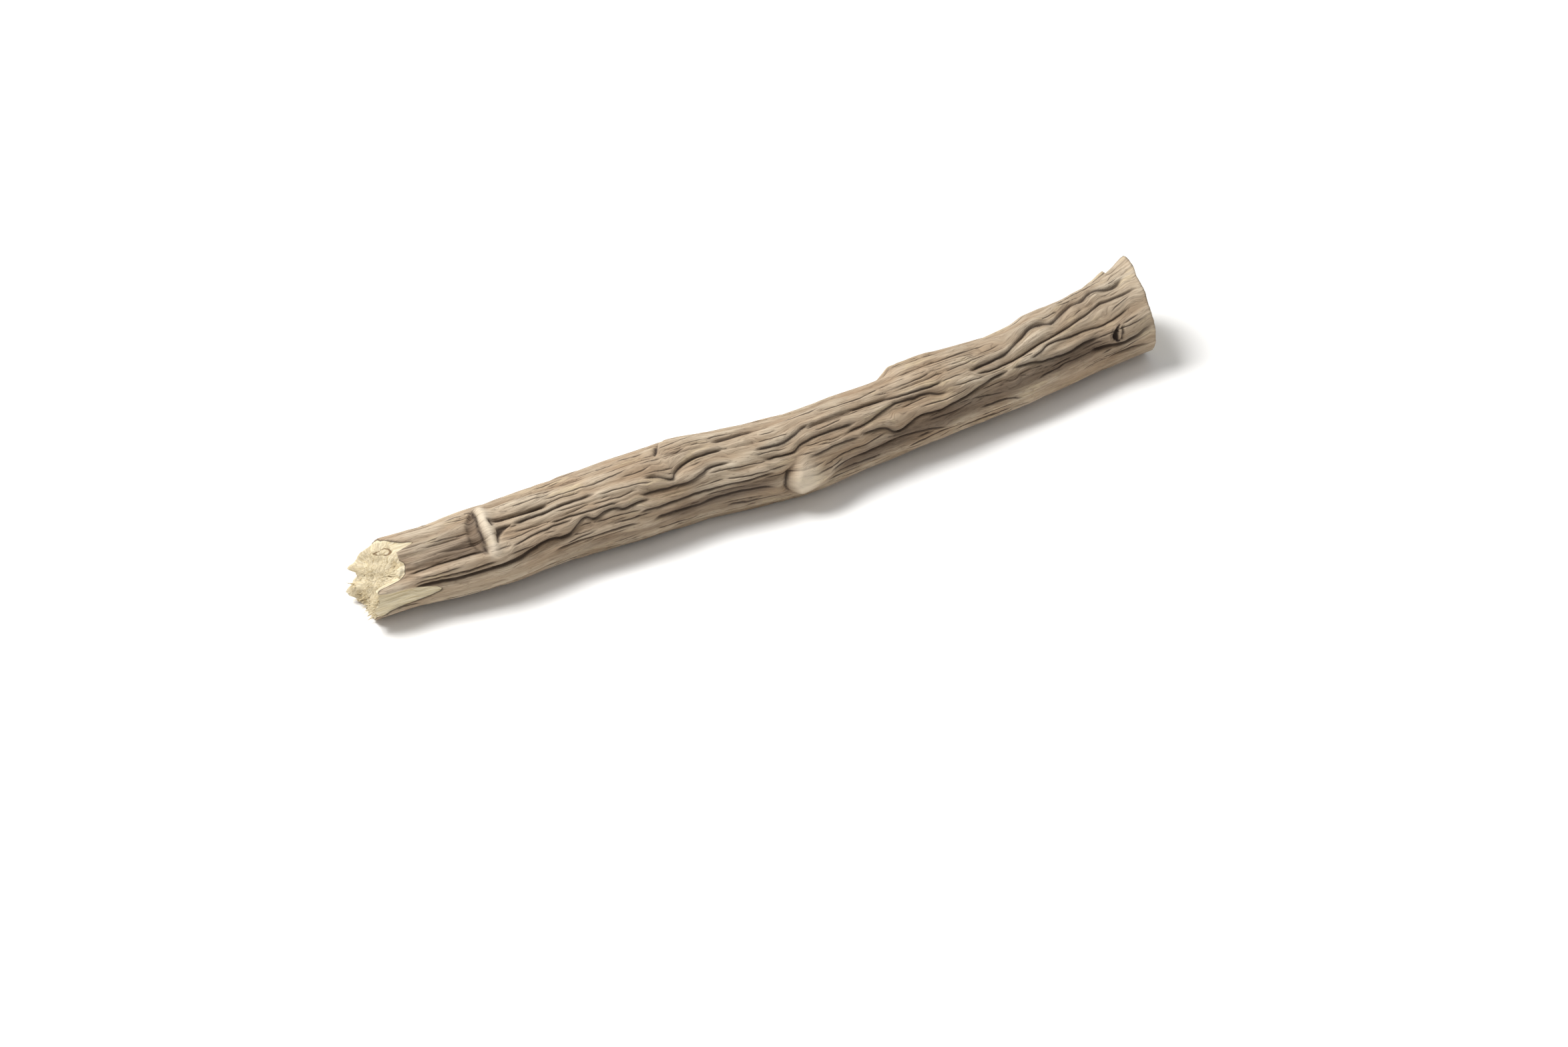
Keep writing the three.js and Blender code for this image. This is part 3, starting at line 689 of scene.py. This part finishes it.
def break_face(inwards, around):
    """The face of the break: how far along each place is, the painted shade of the gaps between bundles,
    which grows with how deep in a gap a place is, how far across the line of the nearest mark, and how plain
    that line is."""
    angle = np.radians(around)
    slope = BREAK_SLOPE * inwards * np.cos(angle - math.radians(BREAK_TOP))
    tongue = through(TONGUE_OUT, around) * ease(inwards, TONGUE_DEPTH, 0.95)
    front = inwards * np.sin(angle)
    up = inwards * np.cos(angle)
    steps = 0.2 * np.sin(9 * front + 5 * up) + 0.15 * np.sin(13 * up - 6 * front + 1)
    near_rim = ease(inwards, 0.7, 1)
    ragged = CORNER_BACK * hump(turn(around, CORNER_ROUND) / CORNER_SPREAD) * ease(inwards, 0.4, 1)
    ragged += through(RAGGED_RIM, around) * near_rim
    low = near_rim * (1 - ease(up, -0.4, 0.5))
    teeth = TOOTH_LONG * np.sin(TEETH * angle + 1) * low
    knot_long = (KNOT_LIE[0] * (front - KNOT[0]) + KNOT_LIE[1] * (up - KNOT[1])) / KNOT_LONG
    knot_wide = (KNOT_LIE[0] * (up - KNOT[1]) - KNOT_LIE[1] * (front - KNOT[0])) / KNOT_WIDE
    knot_wide /= 0.75 + 0.25 * np.clip(knot_long, -1, 1)
    off_knot = (np.hypot(knot_long, knot_wide) - 1) * KNOT_WIDE
    across = off_knot / MARK_HEART
    plain = (np.abs(off_knot) < 0.08).astype(float)
    for ends in SPLITS:
        off, opened = stroke(front, up, *ends)
        across = np.where(opened > plain, off / MARK_HEART, across)
        plain = np.maximum(plain, opened)
    stands, gap = bundles(inwards, around)
    along = TORN_END + slope + tongue + ragged + steps + teeth - lerp(*BUNDLE_STANDS, low) * stands
    along = along + GAP_DEPTH * gap + MARK_DEPTH * plain * hump(across / 2)
    return along, GAP_DARK * gap, across, plain


# The crown end.
# Cut nearly square across and dried a little hollow. The cut shows the wood's rays, a ring where the wood
# meets the inner bark, and checks that opened from the heart as it dried.
CUT_SLOPE = -1.2
CUT_FRONT = 50
CUT_HOLLOW = 0.6
CUT_PEAK = 1
RIM_SHARE = 0.93
BARK_RING_SHARE = 0.64
BARK_RING_DARK = 0.45
CHECKS = [(20, 0.8), (112, 0.45), (208, 0.7), (262, 0.3), (318, 0.56)]
CHECK_WIDTH = 0.14
CHECK_DEPTH = 0.7
RAY_HEIGHT = 0.07
SAW_HEIGHT = 0.05
NEAR_CROWN = 74


def crown_face(inwards, around):
    """The face of the crown end: how far along each place is, and how deep in a check or in the ring where
    the wood meets the inner bark, 0 to 1, which also darkens its colour, as painted shade in the checks. It
    has no marks."""
    angle = np.radians(around)
    slope = CUT_SLOPE * inwards * np.cos(np.radians(turn(around, CUT_FRONT)))
    peak = CUT_PEAK * hump(turn(around, FLARE_ROUND) / FLARE_SPREAD) * inwards**2
    chips = 0.1 * np.sin(3 * angle + 1) + 0.05 * np.sin(8 * angle + 3)
    chips += 0.08 * clouds(straightened(0 * around, around, 1), 1, 2.2, 5)
    gap = BARK_RING_DARK * hump((inwards - BARK_RING_SHARE) / 0.012)
    for place, reach in CHECKS:
        bent = turn(around, place + 3 * np.sin(7 * inwards + place)) * MM_PER_DEGREE * inwards
        split = np.exp(-np.abs(bent) / CHECK_WIDTH) * (1 - ease(inwards, reach - 0.2, reach))
        gap = np.maximum(gap, split)
    rays = RAY_HEIGHT * clouds(straightened(14 * inwards, around, 1), 5, 0.7, 11)
    saw = SAW_HEIGHT * np.sin(26 * inwards * np.cos(angle - 0.6))
    along = CROWN_END + slope + peak - CUT_HOLLOW * (1 - inwards * inwards) + chips * inwards**3 + rays + saw
    return along - CHECK_DEPTH * gap, gap, np.full_like(along, NO_LINE), np.zeros_like(along)


# The stick is shaped: every point of the plain bar goes to its finished place, and takes along the numbers
# that its finish needs. Where the wood is bare it has grooves of its own, and the underside is worn.
EDGE_WAVES = [(0.2, 40, 1.2, 2), (0.22, 40, 0.5, 12)]
EDGE_STEP = (-0.3, 0.26)
WOOD_FLUTES = 0.4
WOOD_GROOVES = (14, 0.55, 31)
WOOD_FIBRES = (7, 0.28, 5)
GROOVE_HEIGHT = 0.1
WOOD_FIBRE_HEIGHT = 0.05
GROOVE_DARK = 0.35
WORN_SPREAD = 18

count = len(stick.data.vertices)
bar = np.empty(count * 3)
stick.data.vertices.foreach_get("co", bar)
bar = bar.reshape(-1, 3) / MM
bar_x = bar[:, 0]
for place in CROWDED:
    bar_x -= ROW_CROWDING * (bar_x - place) * hump((bar_x - place) / CROWD_REACH)
inwards = np.hypot(bar[:, 1], bar[:, 2]) / MEAN_RADIUS
on_face = inwards < 0.999
inwards[~on_face] = 1
even = np.arctan2(-bar[:, 1], bar[:, 2])
around = turn(np.degrees(even - COLUMN_CROWDING * np.sin(even - FRONT)), 0)

along = bar_x.copy()
outside = bar_x.copy()
gaps, mark_line = np.zeros((2, count))
mark_across = np.full(count, NO_LINE)
for face, near, end in ((break_face, NEAR_TORN, TORN_END), (crown_face, NEAR_CROWN, CROWN_END)):
    here = np.flatnonzero(np.sign(end) * (bar_x - near) > 0)
    rim, *_ = face(np.ones(len(here)), around[here])
    place, gaps[here], mark_across[here], mark_line[here] = face(inwards[here], around[here])
    share = (bar_x[here] - near) / (end - near)
    along[here] = lerp(near, place, share)
    outside[here] = lerp(near, rim, share)

height, turned, colouring = bark_skin(outside, around)
surface_places = straightened(outside, around, np.ones(count))
torn_edge = through(BARK_EDGE, around)
for reach, *patch in EDGE_WAVES:
    torn_edge += reach * clouds(surface_places, *patch)
edge_lean = (through(BARK_EDGE, around + 1) - through(BARK_EDGE, around - 1)) / (2 * MM_PER_DEGREE)
past_edge = (outside - torn_edge) / np.sqrt(1 + edge_lean * edge_lean)
bare = 1 - ease(past_edge, *EDGE_STEP)
grooves = clouds(surface_places, *WOOD_GROOVES)
wood_height = WOOD_FLUTES * sum(flutes(outside, around)) - BARK_THICKNESS + GROOVE_HEIGHT * grooves
wood_height += WOOD_FIBRE_HEIGHT * clouds(surface_places, *WOOD_FIBRES)
height = lerp(height, wood_height, bare)
height *= 1 - WORN * hump(turn(around, 180) / WORN_SPREAD)
bare_dark = GROOVE_DARK * np.exp(-np.abs(grooves) / 0.08)
colouring["dark"] = np.where(on_face, gaps, lerp(colouring["dark"], bare_dark, bare))
colouring["bold_across"] = np.where(on_face, mark_across, colouring["bold_across"])
colouring["bold_line"] = np.where(on_face, mark_line, colouring["bold_line"] * (1 - bare))
colouring["fine_line"] *= (1 - bare) * ~on_face
past_rim = (inwards - RIM_SHARE) * MEAN_RADIUS
colouring["past_edge"] = np.clip(np.where(on_face, np.where(bar_x < 0, -1, past_rim), past_edge), -1, 1)

finished = on_stick(along, around, height, inwards, outside)
stick.data.vertices.foreach_set("co", finished.ravel())


def keep(mesh, name, values):
    """Stores a number, or a place, for each point of a mesh under a name that a material can read."""
    kind, field = ("FLOAT", "value") if values.ndim == 1 else ("FLOAT_VECTOR", "vector")
    mesh.attributes.new(name, kind, "POINT").data.foreach_set(field, values.ravel())


for name, values in colouring.items():
    keep(stick.data, name, values)
folded_in = outside + np.sign(bar_x) * (1 - inwards) * MEAN_RADIUS
frayed = STREAK_FRAY * clouds(straightened(0 * around, around, inwards), 1, 2.4, 9)
frayed *= (bar_x < 0) * (1 - ease(inwards, 0.8, 1))
unturned = around - np.where(on_face, frayed, turned)
keep(stick.data, "straight", straightened(folded_in, unturned, fanned(inwards)))
bpy.ops.object.select_all(action="DESELECT")
stick.select_set(True)
bpy.context.view_layer.objects.active = stick
bpy.ops.object.shade_smooth()


# How the stick is finished.
# Dry cork and dry wood are both dull and both grow in fibres along the stick. The one grain below is set
# to the cork's scale or the wood's. The deep places are darkened as painted shade, the rubbed ridges are
# pale, and the upper side of each plate's step is paler as a painted highlight.
DRY_SHINE = 0.3
CORK_GRAIN = (9.0, 0.9)
CORK_BUMP = (0.6, 0.0004)
CORK_ROUGHNESS = (0.92, 0.74)
WOOD_GRAIN = (6.0, 0.4)
WOOD_BUMP = (0.5, 0.0003)
WOOD_ROUGHNESS = 0.8


def feed(tree, socket, value):
    """Gives a socket a fixed value, or a link when the value is another node's output."""
    if isinstance(value, bpy.types.NodeSocket):
        tree.links.new(value, socket)
    elif value is not None:
        socket.default_value = value


def node(tree, kind, *values, **settings):
    """Adds a shader node with its settings and feeds its sockets in their order; None leaves one alone."""
    made = tree.nodes.new("ShaderNode" + kind)
    for name, setting in settings.items():
        setattr(made, name, setting)
    for socket, value in zip(made.inputs, values):
        feed(tree, socket, value)
    return made


def combine(tree, operation, *values):
    """The result of one sum on masks or values, kept between 0 and 1."""
    return node(tree, "Math", *values, operation=operation, use_clamp=True).outputs[0]


def times(tree, value, share):
    """A share of a mask."""
    return combine(tree, "MULTIPLY", value, share)


def remap(tree, value, low, high, new_low=0.0, new_high=1.0):
    """Takes a value from one range to another and holds it there."""
    return node(tree, "MapRange", value, low, high, new_low, new_high).outputs[0]


def mix(tree, share, colour, other):
    """Lays a share of the other colour over a colour."""
    made = node(tree, "Mix", data_type="RGBA")
    for socket, value in zip((made.inputs[0], made.inputs[6], made.inputs[7]), (share, colour, other)):
        feed(tree, socket, value)
    return made.outputs[2]


def shade(red, green, blue):
    """A colour as a screen shows it, 0 to 255, as the light values that a shader takes."""
    return (*(((value / 255 + 0.055) / 1.055) ** 2.4 for value in (red, green, blue)), 1)


def attribute(tree, name, kind="Fac"):
    """Reads what was kept on the mesh."""
    return node(tree, "Attribute", attribute_name=name).outputs[kind]


grain = bpy.data.node_groups.new("dry_grain", "ShaderNodeTree")
for name, kind in (("Place", "Vector"), ("Length", "Float"), ("Width", "Float")):
    grain.interface.new_socket(name, in_out="INPUT", socket_type="NodeSocket" + kind)
for name in ("Streak", "Thread", "Wrinkle", "Patch", "Peeled", "Height"):
    grain.interface.new_socket(name, in_out="OUTPUT", socket_type="NodeSocketFloat")
given = grain.nodes.new("NodeGroupInput").outputs
size = node(grain, "CombineXYZ", given["Length"], given["Width"], given["Width"]).outputs[0]
laid = node(grain, "VectorMath", given["Place"], size, operation="DIVIDE").outputs[0]
thin = node(grain, "VectorMath", laid, (2.3, 3.1, 3.1), operation="MULTIPLY").outputs[0]
wide = node(grain, "VectorMath", laid, (0.9, 0.45, 0.45), operation="MULTIPLY").outputs[0]
streak = node(grain, "TexNoise", laid, None, 1.0, 4.0, 0.6).outputs[0]
thread = node(grain, "TexNoise", thin, None, 1.0, 3.0, 0.55).outputs[0]
patch = node(grain, "TexNoise", given["Place"], None, 0.09, 3.0, 0.5).outputs[0]
scale = node(grain, "TexNoise", wide, None, 1.0, 5.0, 0.62).outputs[0]
wave = node(grain, "TexNoise", laid, None, 1.7, 2.0, 0.5).outputs[0]
from_middle = node(grain, "Math", wave, 0.5, operation="SUBTRACT").outputs[0]
off_wave = node(grain, "Math", from_middle, operation="ABSOLUTE").outputs[0]
wrinkle = remap(grain, off_wave, 0.035, 0.0)
peeled = remap(grain, scale, 0.57, 0.6)
result = grain.nodes.new("NodeGroupOutput").inputs
feed(grain, result["Streak"], remap(grain, streak, 0.36, 0.64))
feed(grain, result["Thread"], remap(grain, thread, 0.36, 0.64))
feed(grain, result["Wrinkle"], wrinkle)
feed(grain, result["Patch"], remap(grain, patch, 0.38, 0.62))
feed(grain, result["Peeled"], peeled)
raised = combine(grain, "ADD", times(grain, streak, 0.4), times(grain, thread, 0.4))
sunk = combine(grain, "ADD", times(grain, wrinkle, 0.2), times(grain, peeled, 0.12))
feed(grain, result["Height"], combine(grain, "SUBTRACT", raised, sunk))


def laid_grain(tree, length, width):
    """The shared grain at one scale in mm, laid along the stick."""
    made = tree.nodes.new("ShaderNodeGroup")
    made.node_tree = grain
    for socket, value in zip(made.inputs, (attribute(tree, "straight", "Vector"), length, width)):
        feed(tree, socket, value)
    return made.outputs


def drawn_line(tree, across, strength, outer, inner):
    """The dark line in the heart of the nearest crack or mark, painted as the shade in it."""
    off = node(tree, "Math", attribute(tree, across), operation="ABSOLUTE").outputs[0]
    return times(tree, remap(tree, off, outer, inner), attribute(tree, strength))


WOOD = shade(214, 198, 160)
WOOD_PALE = shade(236, 225, 197)
WOOD_DARK = shade(112, 88, 60)
wood_look = bpy.data.node_groups.new("wood_look", "ShaderNodeTree")
wood_look.interface.new_socket("Colour", in_out="OUTPUT", socket_type="NodeSocketColor")
wood_look.interface.new_socket("Height", in_out="OUTPUT", socket_type="NodeSocketFloat")
fibre = laid_grain(wood_look, *WOOD_GRAIN)
colour = mix(wood_look, fibre["Streak"], WOOD, WOOD_PALE)
between_threads = combine(wood_look, "SUBTRACT", 1.0, fibre["Thread"])
colour = mix(wood_look, times(wood_look, between_threads, 0.35), colour, WOOD_DARK)
# Painted shade in the break's gaps and the cut's checks; the bare sides' groove lines and the cut's bark
# ring.
colour = mix(wood_look, times(wood_look, attribute(wood_look, "dark"), 0.85), colour, WOOD_DARK)
# The dark line round the knot and in the splits of the break is painted shade.
line = drawn_line(wood_look, "bold_across", "bold_line", 1.8, 0.6)
colour = mix(wood_look, times(wood_look, line, 0.9), colour, WOOD_DARK)
result = wood_look.nodes.new("NodeGroupOutput").inputs
feed(wood_look, result["Colour"], colour)
feed(wood_look, result["Height"], fibre["Height"])


def new_material(name, shine):
    """A material with an empty node tree and a shader of some shine that feeds it."""
    made = bpy.data.materials.new(name)
    made.use_nodes = True
    tree = made.node_tree
    tree.nodes.clear()
    shader = tree.nodes.new("ShaderNodeBsdfPrincipled")
    shader.inputs["Specular IOR Level"].default_value = shine
    tree.links.new(shader.outputs[0], tree.nodes.new("ShaderNodeOutputMaterial").inputs[0])
    return made, tree, shader


def wood_of(tree):
    """The look of bare wood: its colour and the height of its grain."""
    made = tree.nodes.new("ShaderNodeGroup")
    made.node_tree = wood_look
    return made.outputs


CORK = shade(164, 143, 118)
CORK_PALE = shade(206, 191, 168)
CORK_WARM = shade(154, 124, 94)
# Painted shade: the next colour darkens the hollows, and the one after it the cracks, creases, pits and torn
# edge.
CORK_SHADED = shade(98, 81, 66)
CORK_DARK = shade(56, 44, 36)
CORK_DULL = shade(118, 100, 82)
CORK_INSIDE = shade(214, 194, 156)
CORK_CALM = shade(214, 201, 180)
bark, tree, shader = new_material("bark", DRY_SHINE)
fibre = laid_grain(tree, *CORK_GRAIN)
high = remap(tree, attribute(tree, "pale"), -0.7, 0.8)
light = combine(tree, "ADD", times(tree, high, 0.8), times(tree, fibre["Streak"], 0.3))
line = combine(
    tree, "MAXIMUM", drawn_line(tree, "bold_across", "bold_line", 1.7, 0.4),
    drawn_line(tree, "fine_across", "fine_line", 1.9, 0.5))
peeled = times(tree, fibre["Peeled"], high)
between_threads = combine(tree, "SUBTRACT", 1.0, fibre["Thread"])
colour = mix(tree, light, CORK, CORK_PALE)
# The last share laid on below is painted shade in the hollows, the sunken patch and the ring's lens.
for mask, share, other in (
        (fibre["Patch"], 0.45, CORK_WARM), (peeled, 0.5, CORK_INSIDE), (between_threads, 0.35, CORK_DULL),
        (fibre["Wrinkle"], 0.4, CORK_DULL), (attribute(tree, "calm"), 0.65, CORK_CALM),
        (attribute(tree, "hollow_shade"), 0.75, CORK_SHADED)):
    colour = mix(tree, times(tree, mask, share), colour, other)
# Painted shade in the cracks, creases and pits, and the dark line in each crack's heart.
in_hollows = combine(tree, "MAXIMUM", attribute(tree, "dark"), times(tree, line, 0.9))
colour = mix(tree, in_hollows, colour, CORK_DARK)
# A soft dark band and a thin dark line where bark meets bare wood: painted shadow at the torn edge, a rim
# line on the cut.
past_edge = attribute(tree, "past_edge")
off_edge = node(tree, "Math", past_edge, operation="ABSOLUTE").outputs[0]
colour = mix(tree, times(tree, remap(tree, off_edge, 0.3, 0.1), 0.2), colour, CORK_DARK)
colour = mix(tree, remap(tree, past_edge, 0.03, -0.03), colour, wood_of(tree)["Colour"])
colour = mix(tree, times(tree, remap(tree, off_edge, 0.1, 0.03), 0.75), colour, CORK_DARK)
feed(tree, shader.inputs["Base Color"], colour)
feed(tree, shader.inputs["Roughness"], remap(tree, light, 0.0, 1.0, *CORK_ROUGHNESS))
relief = combine(tree, "SUBTRACT", fibre["Height"], times(tree, line, 0.5))
feed(tree, shader.inputs["Normal"], node(tree, "Bump", *CORK_BUMP, None, relief).outputs[0])

bare_wood, tree, shader = new_material("bare_wood", DRY_SHINE)
wood = wood_of(tree)
feed(tree, shader.inputs["Base Color"], wood["Colour"])
shader.inputs["Roughness"].default_value = WOOD_ROUGHNESS
feed(tree, shader.inputs["Normal"], node(tree, "Bump", *WOOD_BUMP, None, wood["Height"]).outputs[0])

stick.data.materials.append(bark)
stick.data.materials.append(bare_wood)
corners = np.empty(len(stick.data.loops), int)
stick.data.loops.foreach_get("vertex_index", corners)
starts = np.empty(len(stick.data.polygons), int)
stick.data.polygons.foreach_get("loop_start", starts)
all_wood = np.maximum.reduceat(colouring["past_edge"][corners], starts) < -0.4
stick.data.polygons.foreach_set("material_index", all_wood.astype(int))

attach(stick, "root")
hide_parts("licorice_root")

# The loose fibres.
# Where the wood snapped, single fibres and thin splinters stand out of the break, most of them low on its
# rim. One tapered splinter is copied with its own length, thickness and lean.
FIBRE_SIDES = 5
FIBRE_JOINTS = 3
FIBRE_THICK = 0.12
FIBRE_BEND = 0.12
FIBRE_LEAN = (-0.3, 0.25)
FIBRE_SWAY = (-0.25, 0.25)
FIBRE_ROLL = (-3.1, 3.1)
# Each set has a seed and a number, and ranges of how far out from the heart its fibres stand, of where round
# it, of their length in mm and of their thickness.
FIBRE_SETS = [
    (733, 150, (0.74, 0.97), (80, 235), (0.7, 2.3), (0.5, 1.7)),
    (1201, 150, (0.15, 0.8), (-180, 180), (0.7, 2.3), (0.5, 1.7)),
    (2089, 26, (0.84, 0.97), (75, 240), (1.1, 2.1), (2, 3.8)),
]
FIBRE_ROOT = 0.45


def own_copy(model, place, turns, scale):
    """A copy of an object with its own mesh, placed, turned and scaled."""
    made = model.copy()
    made.data = model.data.copy()
    made.location = place
    made.rotation_mode = "ZYX"
    made.rotation_euler = turns
    made.scale = scale
    bpy.context.collection.objects.link(made)
    return made


bpy.ops.object.select_all(action="DESELECT")
bpy.ops.mesh.primitive_cone_add(
    vertices=FIBRE_SIDES, radius1=FIBRE_THICK / 2 * MM, radius2=FIBRE_THICK / 8 * MM, depth=MM,
    location=(-0.5 * MM, 0, 0), rotation=(0, -math.pi / 2, 0))
splinter = bpy.context.object
bpy.ops.object.transform_apply(location=True, rotation=True, scale=True)
bpy.ops.object.mode_set(mode="EDIT")
bpy.ops.mesh.select_mode(type="EDGE")
pick("edges", lambda edge: abs(edge.verts[0].co.x - edge.verts[1].co.x) > 0.5 * MM)
bpy.ops.mesh.subdivide(number_cuts=FIBRE_JOINTS)
bpy.ops.object.mode_set(mode="OBJECT")
for vert in splinter.data.vertices:
    vert.co.z += FIBRE_BEND * vert.co.x**2 / MM

splinters = []
for seed, count, depths, places, lengths, widths in FIBRE_SETS:
    table = drawn_numbers(
        seed, count, depths, places, lengths, widths, FIBRE_LEAN, FIBRE_SWAY, FIBRE_ROLL)
    depth, place, length, thick, lean, sway, roll = np.array(table).T
    stand, *_ = break_face(depth, place)
    roots = on_stick(stand + FIBRE_ROOT, place, -BARK_THICKNESS, depth, np.full(count, TORN_END))
    for i in range(count):
        angle = math.radians(place[i])
        turns = (roll[i], lean[i] * math.cos(angle) + sway[i], lean[i] * math.sin(angle) - sway[i])
        splinters.append(own_copy(splinter, roots[i], turns, (length[i], thick[i], thick[i])))
bpy.data.objects.remove(splinter)

bpy.ops.object.select_all(action="DESELECT")
for made in splinters:
    made.select_set(True)
bpy.context.view_layer.objects.active = splinters[0]
bpy.ops.object.join()
bpy.ops.object.transform_apply(location=True, rotation=True, scale=True)
fibres = bpy.context.object
fibres.name = "torn_fibres"
fibres.data.materials.append(bare_wood)
bpy.ops.object.shade_smooth()
spots = np.empty(len(fibres.data.vertices) * 3)
fibres.data.vertices.foreach_get("co", spots)
keep(fibres.data, "straight", spots.reshape(-1, 3) / MM)
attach(fibres, "root")

# The table.
# A wide matt board in a pale off-white.
BOARD_SIZE = 6
BOARD = shade(246, 245, 243)
BOARD_MOTTLE = shade(243, 242, 240)
BOARD_ROUGHNESS = 0.95
BOARD_SHINE = 0.1
bpy.ops.object.select_all(action="DESELECT")
bpy.ops.mesh.primitive_plane_add(size=BOARD_SIZE, location=(0, 0, 0))
board = bpy.context.object
board.name = "board"
board_paint, tree, shader = new_material("board_paint", BOARD_SHINE)
mottle = node(tree, "TexNoise", node(tree, "TexCoord").outputs["Object"], None, 40.0, 3.0, 0.5).outputs[0]
feed(tree, shader.inputs["Base Color"], mix(tree, remap(tree, mottle, 0.3, 0.7), BOARD, BOARD_MOTTLE))
shader.inputs["Roughness"].default_value = BOARD_ROUGHNESS
board.data.materials.append(board_paint)
board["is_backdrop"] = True

# The light.
# A white room, and one wide soft lamp that hangs above and a little behind the stick on the left, and
# faces its middle.
ROOM_LIGHT = 0.5
KEY_PLACE = (-0.3, 0.22, 0.65)
KEY_SIZE = 0.35
KEY_WATTS = 7
world = bpy.data.worlds.new("room")
bpy.context.scene.world = world
world.use_nodes = True
room = world.node_tree.nodes["Background"].inputs
room["Color"].default_value = (1, 1, 1, 1)
room["Strength"].default_value = ROOM_LIGHT
key = bpy.data.objects.new("key_lamp", bpy.data.lights.new("key_lamp", "AREA"))
key.data.size = KEY_SIZE
key.data.energy = KEY_WATTS
key.location = KEY_PLACE
key.rotation_euler = Vector(KEY_PLACE).to_track_quat("Z", "Y").to_euler()
bpy.context.collection.objects.link(key)
bpy.context.scene.view_settings.view_transform = "Standard"

# The camera.
# It looks down on the stick from the front and the torn end, far enough away that the stick hardly tapers.
AIM = np.array([0.86, 5.12, 8])
AZIMUTH = math.radians(-30)
ELEVATION = math.radians(38)
DISTANCE = 1683.45
ASIDE = 5.93
RAISED = -16.64
LENS = 200
SENSOR_WIDTH = 36
back = np.array([
    math.sin(AZIMUTH) * math.cos(ELEVATION), -math.cos(AZIMUTH) * math.cos(ELEVATION), math.sin(ELEVATION)])
right = np.array([math.cos(AZIMUTH), math.sin(AZIMUTH), 0])
camera = bpy.data.objects.new("camera", bpy.data.cameras.new("camera"))
camera.data.lens = LENS
camera.data.sensor_width = SENSOR_WIDTH
camera.data.clip_start = 0.1
camera.data.clip_end = 10
camera.location = (AIM + back * DISTANCE + right * ASIDE + np.cross(back, right) * RAISED) * MM
camera.rotation_euler = Vector(back).to_track_quat("Z", "Y").to_euler()
bpy.context.collection.objects.link(camera)
bpy.context.scene.camera = camera

low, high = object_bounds()
